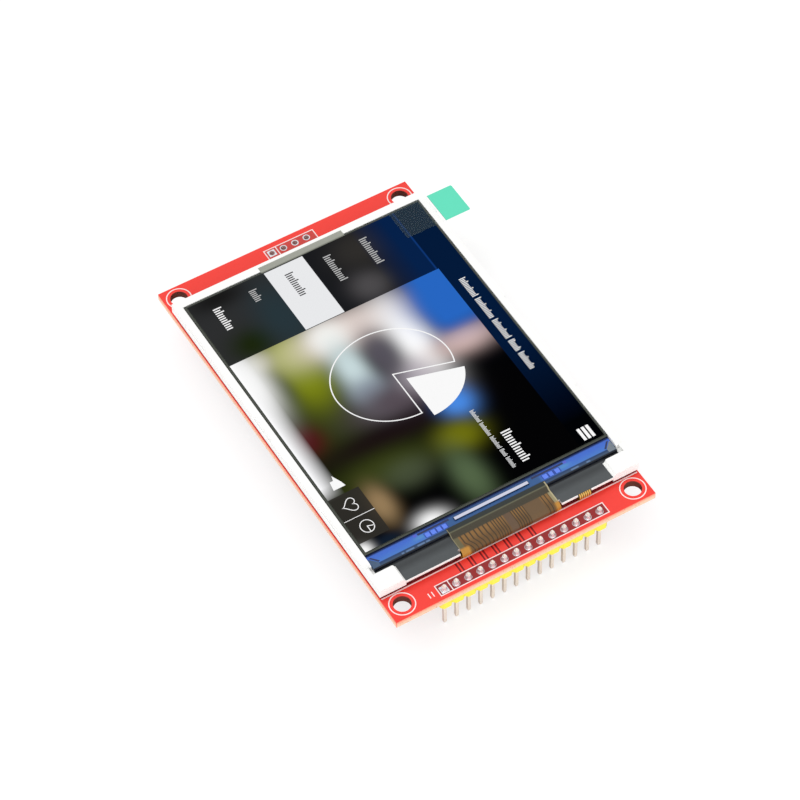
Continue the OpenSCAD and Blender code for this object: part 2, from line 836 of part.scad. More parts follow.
module socket_shell() {
    start_x = back_x + shell_inset;
    color("silver")
    difference() {
        union() {
            translate([start_x, socket_y, 0])
            rotate([90, 0, 90])
            linear_extrude(mouth_x - start_x)
            shell_profile();
            for (x = [start_x + foot_inset, mouth_x - foot_l - foot_inset], s = [-1, 1])
                translate([x + foot_l / 2, socket_y + s * (socket_w / 2 + foot_reach / 2 - shell_t / 2), 0])
                block(-foot_l / 2, foot_l / 2, -foot_reach / 2, foot_reach / 2, -shell_t, 0);
        }
        translate([mouth_x + thumb_r - thumb_depth, socket_y, -socket_h - bite])
        cylinder(h = shell_t + 2 * bite, r = thumb_r, $fn = 96);
        for (s = [-1, 1])
            translate([block_x + tongue_inset, socket_y + s * tongue_y, -socket_h - bite])
            spring_tongue_slit();
        translate([peg_x, socket_y - window_l / 2, -socket_h - bite])
        cube([window_d, window_l, shell_t + 2 * bite]);
    }
}

// ---- Small parts on the underside ----

module chip_part(h) {
    translate([-chip_part_l / 2 + cap_l / 2, -chip_part_w / 2 + cap_t, -h + cap_t])
    cube([chip_part_l - cap_l, chip_part_w - 2 * cap_t, h - 2 * cap_t]);
    for (x = [-chip_part_l / 2, chip_part_l / 2 - cap_l])
        translate([x, -chip_part_w / 2, -h])
        cube([cap_l, chip_part_w, h]);
}

module resistors() {
    color("#303030")
    for (k = [-4 : -1]) {
        in_row(k) chip_part(resistor_h);
        in_column(k + 1) chip_part(resistor_h);
    }
}

module capacitors() {
    color("tan")
    for (k = [1 : 2]) {
        in_row(3 * k) chip_part(capacitor_h);
        in_column(k) chip_part(capacitor_h);
    }
}

module lead_outline(side) {
    root = package_w / 2 - lead_root;
    toe = package_w / 2 + lead_reach;
    knee = package_w / 2 + lead_reach / 2;
    level = -package_h / 2;
    polygon([
        for (p = [[root, level], [knee, level], [knee, -lead_t], [toe, -lead_t], [toe, 0],
                  [knee - lead_t, 0], [knee - lead_t, level + lead_t], [root, level + lead_t]])
            [side * p[0], p[1]]
    ]);
}

// Three-legged package: two leads on one side and one on the other
module small_package() {
    belly = package_w / 2;
    color("#242424") {
        across(0, package_l)
        polygon([
            [-belly + draft, -stand_off], [belly - draft, -stand_off], [belly, -package_h / 2],
            [belly - draft, -package_h], [-belly + draft, -package_h], [-belly, -package_h / 2]
        ]);
        for (x = [-lead_pitch / 2, lead_pitch / 2])
            across(x, lead_w) lead_outline(1);
        across(0, lead_w) lead_outline(-1);
    }
}

module regulator()
    in_row(4.5) small_package();

module transistor()
    in_row(1) small_package();

circuit_board();
header_strip();
header_solder();
foam_tape(-1);  // foam_tape_left
foam_tape(1);  // foam_tape_right
backlight_frame();
reflector_sheet();
light_guide();
diffuser_sheet();
lower_prism_sheet();
upper_prism_sheet();
lamp_flex();
rim_tape();
rear_polariser();
array_glass();
filter_glass();
front_polariser();
screen_film();
pull_tab();
edge_tape();
driver_chip();
display_flex();
flex_solder();
socket_base();
socket_shell();
socket_contacts();
regulator();
transistor();
resistors();
capacitors();
for (i = [1 : pin_count])
    header_pin(i);
for (i = [1 : led_count])
    lamp(i);
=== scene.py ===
import math

import bmesh
import bpy
from mathutils import Matrix, Vector


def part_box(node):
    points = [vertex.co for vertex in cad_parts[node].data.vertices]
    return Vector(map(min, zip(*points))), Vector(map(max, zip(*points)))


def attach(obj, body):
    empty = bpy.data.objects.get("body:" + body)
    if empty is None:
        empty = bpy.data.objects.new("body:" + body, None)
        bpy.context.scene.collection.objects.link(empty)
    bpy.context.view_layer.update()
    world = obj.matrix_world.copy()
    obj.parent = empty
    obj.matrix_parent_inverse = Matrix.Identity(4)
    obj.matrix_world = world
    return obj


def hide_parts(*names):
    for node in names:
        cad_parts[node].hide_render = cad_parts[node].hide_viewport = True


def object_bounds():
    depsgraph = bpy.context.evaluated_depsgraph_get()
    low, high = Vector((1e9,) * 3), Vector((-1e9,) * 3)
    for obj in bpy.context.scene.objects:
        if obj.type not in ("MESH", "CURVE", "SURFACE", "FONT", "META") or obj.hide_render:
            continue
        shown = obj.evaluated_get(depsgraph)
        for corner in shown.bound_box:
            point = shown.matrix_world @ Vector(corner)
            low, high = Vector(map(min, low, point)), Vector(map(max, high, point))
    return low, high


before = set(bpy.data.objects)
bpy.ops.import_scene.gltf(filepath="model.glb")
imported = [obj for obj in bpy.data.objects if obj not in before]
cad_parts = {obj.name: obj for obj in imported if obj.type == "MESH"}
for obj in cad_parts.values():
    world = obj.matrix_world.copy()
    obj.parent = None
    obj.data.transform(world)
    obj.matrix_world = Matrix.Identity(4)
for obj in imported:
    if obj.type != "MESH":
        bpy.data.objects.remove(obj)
cad_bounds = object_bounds()
MM = 0.001


def box(node):
    low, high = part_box(node)
    return Vector(low), Vector(high)


def paint(red, green, blue):
    """A colour as a paint chart gives it, 0 to 255, turned into the linear values that shaders use."""
    def linear(value):
        value = value / 255
        return value / 12.92 if value <= 0.04045 else ((value + 0.055) / 1.055) ** 2.4
    return (linear(red), linear(green), linear(blue), 1.0)


# ---------------------------------------------------------------- view and light

def set_camera():
    """Looks down on the module from beyond its pin header, turned to the left."""
    data = bpy.data.cameras.new("bench_camera")
    data.sensor_width = 36
    data.lens = 159.246
    data.clip_start = 0.01
    camera = bpy.data.objects.new("bench_camera", data)
    bpy.context.scene.collection.objects.link(camera)
    turn = Matrix.Rotation(math.radians(-29.390), 4, "Z")
    tilt = Matrix.Rotation(math.radians(90 - 51.839), 4, "X")
    roll = Matrix.Rotation(math.radians(-1.750), 4, "Z")
    camera.matrix_world = Matrix.Translation((-0.20130, -0.35696, 0.52047)) @ turn @ tilt @ roll
    bpy.context.scene.camera = camera


def set_light():
    """A white studio: even light from all round, a broad lamp above and a low one in front."""
    scene = bpy.context.scene
    scene.view_settings.view_transform = "Standard"
    world = bpy.data.worlds.new("white_studio")
    scene.world = world
    world.use_nodes = True
    tree = world.node_tree
    tree.nodes.clear()
    out = tree.nodes.new("ShaderNodeOutputWorld")
    seen, fill = tree.nodes.new("ShaderNodeBackground"), tree.nodes.new("ShaderNodeBackground")
    seen.inputs["Color"].default_value = (1, 1, 1, 1)
    seen.inputs["Strength"].default_value = 1.0
    fill.inputs["Color"].default_value = (1, 1, 1, 1)
    fill.inputs["Strength"].default_value = WORLD_FILL
    path = tree.nodes.new("ShaderNodeLightPath")
    either = tree.nodes.new("ShaderNodeMath")
    either.operation = "MAXIMUM"
    any_seen = tree.nodes.new("ShaderNodeMath")
    any_seen.operation = "MAXIMUM"
    choose = tree.nodes.new("ShaderNodeMixShader")
    tree.links.new(path.outputs["Is Camera Ray"], either.inputs[0])
    tree.links.new(path.outputs["Is Glossy Ray"], either.inputs[1])
    tree.links.new(either.outputs[0], any_seen.inputs[0])
    tree.links.new(path.outputs["Is Transmission Ray"], any_seen.inputs[1])
    tree.links.new(any_seen.outputs[0], choose.inputs[0])
    tree.links.new(fill.outputs[0], choose.inputs[1])
    tree.links.new(seen.outputs[0], choose.inputs[2])
    tree.links.new(choose.outputs[0], out.inputs[0])
    for name, power, spread, travel in LAMPS:
        data = bpy.data.lights.new(name, "SUN")
        data.energy = power
        data.angle = math.radians(spread)
        lamp = bpy.data.objects.new(name, data)
        scene.collection.objects.link(lamp)
        lamp.rotation_euler = Vector(travel).to_track_quat("-Z", "Y").to_euler()


WORLD_FILL = 0.80
LAMPS = (("broad_lamp", 0.5, 35, (0.36, -0.36, -1.0)), ("front_lamp", 1.15, 60, (0.38, 0.9, -0.26)))


# ---------------------------------------------------------------- wiring materials

class Wiring:
    """Adds nodes to one tree; each call gives back the new node's output."""

    def __init__(self, tree):
        self.tree = tree

    def add(self, kind, *values, out=0, **settings):
        made = self.tree.nodes.new(kind)
        for key, value in settings.items():
            setattr(made, key, value)
        for index, value in enumerate(values):
            self.put(made.inputs[index], value)
        return made.outputs[out]

    def put(self, socket, value):
        if isinstance(value, bpy.types.NodeSocket):
            self.tree.links.new(value, socket)
        elif value is not None:
            socket.default_value = value

    def math(self, operation, *values, clamp=False):
        return self.add("ShaderNodeMath", *values, operation=operation, use_clamp=clamp)

    def mix(self, share, first, second, how="MIX"):
        made = self.tree.nodes.new("ShaderNodeMix")
        made.data_type = "RGBA"
        made.blend_type = how
        for index, value in ((0, share), (6, first), (7, second)):
            self.put(made.inputs[index], value)
        return made.outputs[2]

    def group(self, name, output, **values):
        made = self.tree.nodes.new("ShaderNodeGroup")
        made.node_tree = bpy.data.node_groups[name]
        for key, value in values.items():
            self.put(made.inputs[key], value)
        return made.outputs[output]

    def place(self):
        """Place on the module, as X, Y and Z outputs."""
        where = self.add("ShaderNodeTexCoord", out=3)
        split = self.tree.nodes.new("ShaderNodeSeparateXYZ")
        self.tree.links.new(where, split.inputs[0])
        return split.outputs


def make_group(name, inputs, outputs):
    tree = bpy.data.node_groups.new(name, "ShaderNodeTree")
    for key, default in inputs.items():
        tree.interface.new_socket(key, in_out="INPUT", socket_type="NodeSocketFloat").default_value = default
    for key in outputs:
        tree.interface.new_socket(key, in_out="OUTPUT", socket_type="NodeSocketFloat")
    return Wiring(tree), tree.nodes.new("NodeGroupInput").outputs, tree.nodes.new("NodeGroupOutput").inputs


def make_field_group():
    """A rectangle on the plane of the board, 1 inside and 0 outside, with edges as soft as asked."""
    w, given, result = make_group(
        "field", {"left": 0.0, "right": 1.0, "near": 0.0, "far": 1.0, "soft": 0.00002}, ["mask"])
    x, y, _ = w.place()
    sides = []
    for value, low, high in ((x, "left", "right"), (y, "near", "far")):
        for a, b in ((value, given[low]), (given[high], value)):
            step = w.math("DIVIDE", w.math("SUBTRACT", a, b), given["soft"])
            sides.append(w.math("ADD", step, 0.5, clamp=True))
    both = w.math("MULTIPLY", w.math("MULTIPLY", sides[0], sides[1]), w.math("MULTIPLY", sides[2], sides[3]))
    w.put(result["mask"], both)


def make_glow_group():
    """A soft round patch: 1 in its middle, fading over its reach along X and along Y."""
    w, given, result = make_group("glow", {"x": 0.0, "y": 0.0, "reach_x": 0.005, "reach_y": 0.005}, ["mask"])
    x, y, _ = w.place()
    squares = []
    for value, middle, reach in ((x, "x", "reach_x"), (y, "y", "reach_y")):
        step = w.math("DIVIDE", w.math("SUBTRACT", value, given[middle]), given[reach])
        squares.append(w.math("MULTIPLY", step, step))
    reach = w.math("POWER", w.math("ADD", *squares), 1.2)
    w.put(result["mask"], w.math("EXPONENT", w.math("MULTIPLY", reach, -1.0)))


def make_grain_group():
    """Fine uneven grain: shade lies round 1, height round 0."""
    w, given, result = make_group("grain", {"per_metre": 4000.0, "strength": 0.1}, ["shade", "height"])
    where = w.add("ShaderNodeTexCoord", out=3)
    coarse = w.tree.nodes.new("ShaderNodeTexNoise")
    fine = w.tree.nodes.new("ShaderNodeTexNoise")
    for made, times in ((coarse, 0.13), (fine, 1.0)):
        w.put(made.inputs["Vector"], where)
        w.put(made.inputs["Scale"], w.math("MULTIPLY", given["per_metre"], times))
        made.inputs["Detail"].default_value = 3
    both = w.math("SUBTRACT", w.math("ADD", coarse.outputs[0], fine.outputs[0]), 1.0)
    w.put(result["height"], both)
    w.put(result["shade"], w.math("ADD", w.math("MULTIPLY", both, given["strength"]), 1.0))


def make_stripe_group():
    """Parallel lines that run along Y and can be pushed aside by shift: 1 on a line, 0 between lines."""
    w, given, result = make_group(
        "stripe", {"start": 0.0, "pitch": 0.001, "share": 0.5, "shift": 0.0}, ["mask"])
    x, _, _ = w.place()
    x = w.math("SUBTRACT", x, given["shift"])
    step = w.math("FRACT", w.math("DIVIDE", w.math("SUBTRACT", x, given["start"]), given["pitch"]))
    off = w.math("ABSOLUTE", w.math("SUBTRACT", step, 0.5))
    edge = w.math("SUBTRACT", w.math("MULTIPLY", given["share"], 0.5), off)
    w.put(result["mask"], w.math("ADD", w.math("MULTIPLY", edge, 12.0), 0.5, clamp=True))


class Finish:
    """A material with one Principled shader and its wiring."""

    def __init__(self, name, colour, rough, metal=0.0, gloss=0.5, grain=(4000, 0.10), bump=0.0):
        self.material = bpy.data.materials.new(name)
        self.material.use_nodes = True
        self.w = Wiring(self.material.node_tree)
        self.shader = self.material.node_tree.nodes["Principled BSDF"]
        self.shader.inputs["Metallic"].default_value = metal
        self.shader.inputs["Specular IOR Level"].default_value = gloss
        per_metre, strength = grain
        self.shade = self.w.group("grain", "shade", per_metre=per_metre, strength=strength)
        self.height = self.w.group("grain", "height", per_metre=per_metre, strength=strength)
        self.colour(colour)
        self.rough(rough)
        if bump:
            self.bump(self.height, bump)

    def colour(self, value):
        """Sets the colour, shaded by the grain."""
        if not isinstance(value, bpy.types.NodeSocket):
            value = value[:3]
        shaded = self.w.add("ShaderNodeVectorMath", value, operation="SCALE")
        self.w.put(shaded.node.inputs["Scale"], self.shade)
        self.w.put(self.shader.inputs["Base Color"], shaded)
        return self

    def rough(self, value):
        self.w.put(self.shader.inputs["Roughness"], self.w.math("MULTIPLY", value, self.shade, clamp=True))
        return self

    def bump(self, height, depth):
        made = self.w.tree.nodes.new("ShaderNodeBump")
        made.inputs["Strength"].default_value = 0.4
        made.inputs["Distance"].default_value = depth
        self.w.put(made.inputs["Height"], height)
        self.w.put(self.shader.inputs["Normal"], made.outputs[0])
        return self

    def set(self, **values):
        for key, value in values.items():
            self.w.put(self.shader.inputs[key.replace("_", " ")], value)
        return self


# ---------------------------------------------------------------- places

BOARD_LOW, BOARD_HIGH = box("circuit_board")
TOP_Z = BOARD_HIGH.z
FRAME_LOW = box("backlight_frame")[0]
GLASS_LOW, GLASS_HIGH = box("array_glass")
FILTER_LOW = box("filter_glass")[0]
SCREEN_TOP = box("screen_film")[1].z
FLEX_LOW, FLEX_HIGH = box("display_flex")
PIN_PITCH = 2.54 * MM
PIN_HALF = 0.32 * MM
BOARD_WIDTH = (BOARD_HIGH.x - BOARD_LOW.x) / MM
BOARD_LENGTH = (BOARD_HIGH.y - BOARD_LOW.y) / MM

# Thicknesses of what is printed or plated on a face
INK_T = 0.015 * MM
TRACK_T = 0.012 * MM
PAD_T = 0.02 * MM
PRINT_T = 0.01 * MM


def at(x, y):
    """A point of the board in millimetres from its near left corner."""
    return Vector((BOARD_LOW.x + x * MM, BOARD_LOW.y + y * MM))


def field(w, left, right, near, far, soft=0.03):
    """Mask of a rectangle given in millimetres from the board's near left corner."""
    low, high = at(left, near), at(right, far)
    return w.group("field", "mask", left=low.x, right=high.x, near=low.y, far=high.y, soft=soft * MM)


def glow(w, x, y, reach_x, reach_y):
    middle = at(x, y)
    return w.group("glow", "mask", x=middle.x, y=middle.y, reach_x=reach_x * MM, reach_y=reach_y * MM)


# ---------------------------------------------------------------- finishes

def red_mask():
    f = Finish("red_solder_mask", paint(246, 62, 52), 0.32, gloss=0.35, grain=(9000, 0.05), bump=0.00001)
    w = f.w
    colour = w.mix(field(w, 9.9, 45.45, 0.85, 3.2, 0.15), paint(246, 62, 52), paint(150, 34, 34))
    colour = w.mix(field(w, 22.6, 33.2, 85.2, 88.0, 0.15), colour, paint(206, 66, 60))
    # Painted shade: the board under the screen unit, in the gap the frame shades, darkened to deep red.
    colour = w.mix(field(w, 0.2, 54.8, 5.95, 82.0, 0.2), colour, paint(112, 16, 20))
    f.colour(colour)
    return f.material


def glass_epoxy():
    """Cut edge of the board: rosy by the mask, pale below, with brown specks of glass cloth."""
    f = Finish("glass_epoxy_edge", paint(236, 176, 142), 0.75, gloss=0.2, grain=(5000, 0.2), bump=0.00004)
    w = f.w
    _, _, z = w.place()
    height = w.math("DIVIDE", w.math("SUBTRACT", z, BOARD_LOW.z), TOP_Z - BOARD_LOW.z, clamp=True)
    colour = w.mix(w.math("MULTIPLY", height, height), paint(255, 214, 184), paint(246, 128, 104))
    cloth = w.tree.nodes.new("ShaderNodeTexNoise")
    w.put(cloth.inputs["Vector"], w.add("ShaderNodeTexCoord", out=3))
    cloth.inputs["Scale"].default_value = 3200
    specks = w.math("MULTIPLY", w.math("SUBTRACT", cloth.outputs[0], 0.56), 7.0, clamp=True)
    f.colour(w.mix(w.math("MULTIPLY", specks, 0.5), colour, paint(172, 104, 78)))
    return f.material


def dark_tape():
    """Tape between the posts, with painted shade that darkens it towards the glass and a near-black painted
    shadow by the glass's edge.
    """
    f = Finish("dark_tape", paint(80, 84, 86), 0.5, gloss=0.25, grain=(5000, 0.10), bump=0.00002)
    w = f.w
    # Painted shadow by the glass's edge, then painted shade fading out towards the near side.
    colour = w.mix(field(w, 0, 60, 9.95, 16, 0.12), paint(80, 84, 86), paint(14, 17, 24))
    f.colour(w.mix(field(w, 0, 60, 8.2, 9.95, 1.4), colour, paint(62, 65, 67)))
    return f.material


def ledge_coat():
    """Lower plate: blue coat on its ledge, duller by the chip, with a dark line along its near edge and
    painted shadow of the upper plate along its far edge.
    """
    f = Finish("blue_ledge", paint(62, 112, 196), 0.22, gloss=0.3, grain=(2200, 0.08))
    w = f.w
    near = GLASS_LOW.y / MM - BOARD_LOW.y / MM
    far = FILTER_LOW.y / MM - BOARD_LOW.y / MM
    colour = w.mix(field(w, 0, 60, far - 1.6, far + 1, 1.4), paint(68, 120, 198), paint(62, 106, 204))
    for x in (12.4, 42.9):
        colour = w.mix(w.math("MULTIPLY", glow(w, x, 12.4, 1.4, 0.5), 0.7), colour, paint(84, 146, 196))
    colour = w.mix(field(w, 17.6, 38.0, near, far, 0.9), colour, paint(50, 90, 144))
    # Painted shadow of the upper plate along the ledge's far edge.
    colour = w.mix(field(w, 0, 60, far - 0.3, far + 1, 0.3), colour, paint(44, 58, 108))
    for left, right in ((13.2, 18.1), (38.2, 42.1)):
        colour = w.mix(field(w, left, right, 11.55, 12.75, 0.25), colour, paint(44, 74, 160))
    colour = w.mix(field(w, 0, 60, 9.0, 11.48, 0.12), colour, paint(36, 62, 104))
    colour = w.mix(field(w, 0, 60, 9.0, 11.08, 0.12), colour, paint(54, 76, 104))
    for left, right in ((7.7, 8.2), (8.6, 10.3), (11.0, 12.5), (12.8, 13.6), (43.7, 45.3), (47.0, 47.8)):
        colour = w.mix(field(w, left, right, 10.8, 11.1, 0.2), colour, paint(98, 126, 164))
    colour = w.mix(field(w, 0, 60, 9.0, near + 0.28, 0.1), colour, paint(8, 12, 24))
    f.colour(colour)
    return f.material


def chip_silicon():
    """Driver chip: a bright polished back inside a dark rim."""
    f = Finish("bare_silicon", paint(204, 206, 224), 0.2, metal=0.15, grain=(9000, 0.04))
    w = f.w
    low, high = (Vector((corner.x - BOARD_LOW.x, corner.y - BOARD_LOW.y)) / MM
                 for corner in box("driver_chip"))
    bright = field(w, low.x + 0.08, high.x - 0.08, low.y + 0.06, high.y - 0.06, 0.04)
    f.colour(w.mix(bright, paint(26, 40, 74), paint(204, 206, 224)))
    return f.material


def amber_film():
    """Display's flexible circuit: olive cover by the glass, brown film with gold tracks down to its fold, and
    a painted highlight where it bends over the glass's edge.
    """
    f = Finish("amber_film", paint(128, 92, 46), 0.32, gloss=0.35, grain=(6000, 0.08))
    w = f.w
    x, y, _ = w.place()
    down = w.math("DIVIDE", w.math("SUBTRACT", at(0, 7.3).y, y), 1.9 * MM, clamp=True)
    aside = w.math("MULTIPLY", w.math("SUBTRACT", at(25.4, 0).x, x), 0.19)
    shift = w.math("MULTIPLY", down, w.math("MAXIMUM", aside, 0.0))
    colour = w.mix(field(w, 0, 60, 3, 7.4, 1.6), paint(134, 97, 50), paint(104, 74, 38))
    rows = ((18.35, 25.0, 18.76, 0.94, 0.30), (25.0, 27.7, 25.2, 0.53, 0.42), (29.2, 32.0, 29.3, 0.52, 0.5),
            (35.5, 37.3, 35.85, 0.72, 0.3))
    for left, right, first, pitch, share in rows:
        line = w.group("stripe", "mask", start=at(first - pitch / 2, 0).x, pitch=pitch * MM,
                       share=share, shift=shift)
        line = w.math("MULTIPLY", line, field(w, left, right, 3, 9.2, 0.1))
        colour = w.mix(line, colour, paint(68, 52, 30))
    for left, right, shade in ((27.7, 29.2, (98, 76, 56)), (32.0, 35.5, (104, 80, 52))):
        colour = w.mix(field(w, left, right, 3, 9.3, 0.2), colour, paint(*shade))
    rim = field(w, 17, 18.25, 3, 12, 0.15)
    colour = w.mix(rim, colour, paint(100, 94, 66))
    colour = w.mix(field(w, 37.35, 38.3, 3, 12, 0.12), colour, paint(150, 140, 106))
    colour = w.mix(field(w, 0, 60, 9.05, 12.0, 0.25), colour, paint(62, 57, 43))
    # Painted highlight along the bend over the lower plate's front edge.
    colour = w.mix(field(w, 0, 60, 10.2, 10.42, 0.2), colour, paint(98, 98, 76))
    colour = w.mix(field(w, 17.3, 38.0, 10.5, 12.0, 0.2), colour, paint(36, 43, 40))
    for left, right, shade in ((17.0, 17.32, (150, 142, 112)), (37.85, 38.3, (190, 178, 140))):
        colour = w.mix(w.math("MULTIPLY", field(w, left, right, 5.9, 11.2, 0.1), 0.8), colour, paint(*shade))
    for left, right in ((16.9, 19.0), (37.2, 38.4)):
        colour = w.mix(field(w, left, right, 3, 6.5, 0.5), colour, paint(186, 130, 50))
    f.colour(colour)
    return f.material


# Soft patches of the picture behind the menu: x, y and reach in millimetres, then colour and strength
PATCHES = (
    (11, 49, 10, 15, (52, 60, 22), 0.9),
    (13, 55, 5, 8, (122, 132, 22), 1.0),
    (13.4, 61.4, 6, 5, (168, 174, 92), 0.95),
    (7.6, 54, 2.2, 5, (62, 72, 22), 0.8),
    (7.2, 62.5, 2.6, 2.6, (186, 184, 164), 0.8),
    (26, 60.5, 12, 5, (222, 208, 202), 1.0),
    (21, 61, 4, 4, (246, 244, 240), 0.9),
    (21.4, 52, 3.4, 8, (196, 214, 216), 1.0),
    (21.5, 45.5, 4, 4, (140, 152, 168), 0.8),
    (24, 41.5, 9, 5, (84, 74, 82), 0.95),
    (34.6, 52.5, 4.4, 11, (252, 252, 252), 1.0),
    (31, 45, 4, 4, (188, 180, 190), 0.7),
    (27.9, 52.4, 3.5, 6.6, (84, 80, 90), 0.92),
    (43, 47.4, 7, 3.4, (204, 176, 168), 1.0),
    (44.6, 58, 7.6, 8, (38, 100, 190), 1.0),
    (5.6, 41.5, 3.4, 4.0, (76, 16, 20), 0.95),
    (18, 35, 14, 3.4, (24, 12, 16), 0.9),
    (33.8, 35.2, 3.5, 3.7, (70, 134, 222), 1.0),
    (14.5, 28.6, 11, 4.0, (56, 64, 24), 0.9),
    (18, 25.8, 5, 3.4, (78, 88, 66), 0.6),
    (30.4, 28.2, 4.6, 3.8, (108, 110, 14), 0.95),
    (27.2, 19.5, 3.3, 7, (82, 100, 70), 0.95),
    (9.9, 22.2, 2.6, 4.6, (152, 126, 90), 0.9),
    (15.8, 13.9, 3.4, 2.6, (246, 246, 246), 1.0),
    (7, 14.6, 3, 1.6, (18, 30, 46), 0.9),
    (2.0, 14.8, 1.8, 2.0, (246, 246, 246), 1.0),
)

# The picture lies this far nearer than the even numbers of its layout
PICTURE_DROP = 0.22


def screen_picture():
    """Printed picture on the screen: soft patches, with a menu band, a title band and two tiles over them."""
    f = Finish("printed_screen", paint(4, 4, 5), 0.3, gloss=0.0, grain=(9000, 0.0))
    w = f.w

    def part(left, right, near, far, soft=0.03):
        return field(w, left, right, near - PICTURE_DROP, far - PICTURE_DROP, soft)

    def patch(x, y, reach_x, reach_y):
        return glow(w, x, y - PICTURE_DROP, reach_x, reach_y)

    colour = paint(3, 3, 4)
    for x, y, reach_x, reach_y, shade, strength in PATCHES:
        colour = w.mix(w.math("MULTIPLY", patch(x, y, reach_x, reach_y), strength), colour, paint(*shade))
    colour = w.mix(part(-4, 3.9, 29, 70, 3.6), colour, paint(250, 250, 252))
    colour = w.mix(w.math("MULTIPLY", patch(3.6, 59, 3.6, 10), 0.85), colour, paint(250, 250, 250))
    colour = w.mix(part(40.6, 60, 51.4, 70, 4.0), colour, paint(38, 100, 190))
    band = w.mix(patch(9, 67, 5, 4), paint(44, 45, 46), paint(26, 36, 10))
    band = w.mix(patch(16.5, 70, 5, 9), band, paint(38, 52, 58))
    band = w.mix(patch(8, 80.5, 6, 3), band, paint(24, 24, 24))
    band = w.mix(part(26, 60, 60, 84, 3), band, paint(24, 25, 28))
    band = w.mix(patch(34.5, 68, 4, 4), band, paint(74, 72, 74))
    band = w.mix(patch(37, 77, 6, 5), band, paint(46, 44, 42))
    band = w.mix(part(41, 60, 60, 90, 7), band, paint(6, 32, 72))
    colour = w.mix(part(0, 60, 64.6, 84), colour, band)
    title = w.mix(part(40, 60, 32, 90, 24), paint(1, 2, 4), paint(4, 28, 62))
    colour = w.mix(w.math("MAXIMUM", part(47.7, 60, 0, 64.7), part(47.1, 60, 64.6, 90)), colour, title)
    colour = w.mix(part(47.15, 47.5, 64.6, 81.3, 0.2), colour, paint(14, 52, 112))
    colour = w.mix(part(18.62, 27.05, 64.75, 81.0), colour, paint(228, 229, 231))
    tiles = w.math("MAXIMUM", part(2.0, 8.4, 22.1, 27.85), part(2.0, 8.4, 16.5, 22.0))
    colour = w.mix(w.math("MULTIPLY", tiles, 0.93), colour, paint(46, 44, 40))
    f.colour(colour)
    return f.material


def tab_film():
    """Peel-off tab: clear where it lies on the screen, green on its free end."""
    f = Finish("pull_tab_film", paint(100, 222, 188), 0.35, gloss=0.2, grain=(4000, 0.03))
    w = f.w
    green = field(w, 55.25, 64, 70, 84, 0.1)
    f.colour(w.mix(green, paint(67, 85, 88), paint(100, 222, 188)))
    over_frame = field(w, 53.2, 55.25, 70, 84, 0.1)
    clear = w.math("SUBTRACT", 0.165, w.math("MULTIPLY", over_frame, 0.16))
    f.set(Alpha=w.math("MAXIMUM", green, clear))
    return f.material


def grey_tape():
    f = Finish("grey_edge_tape", paint(148, 150, 142), 0.5, gloss=0.25, grain=(3500, 0.12))
    w = f.w
    f.colour(w.mix(field(w, 0, 60, 81.3, 84, 0.2), paint(116, 118, 108), paint(156, 158, 148)))
    return f.material


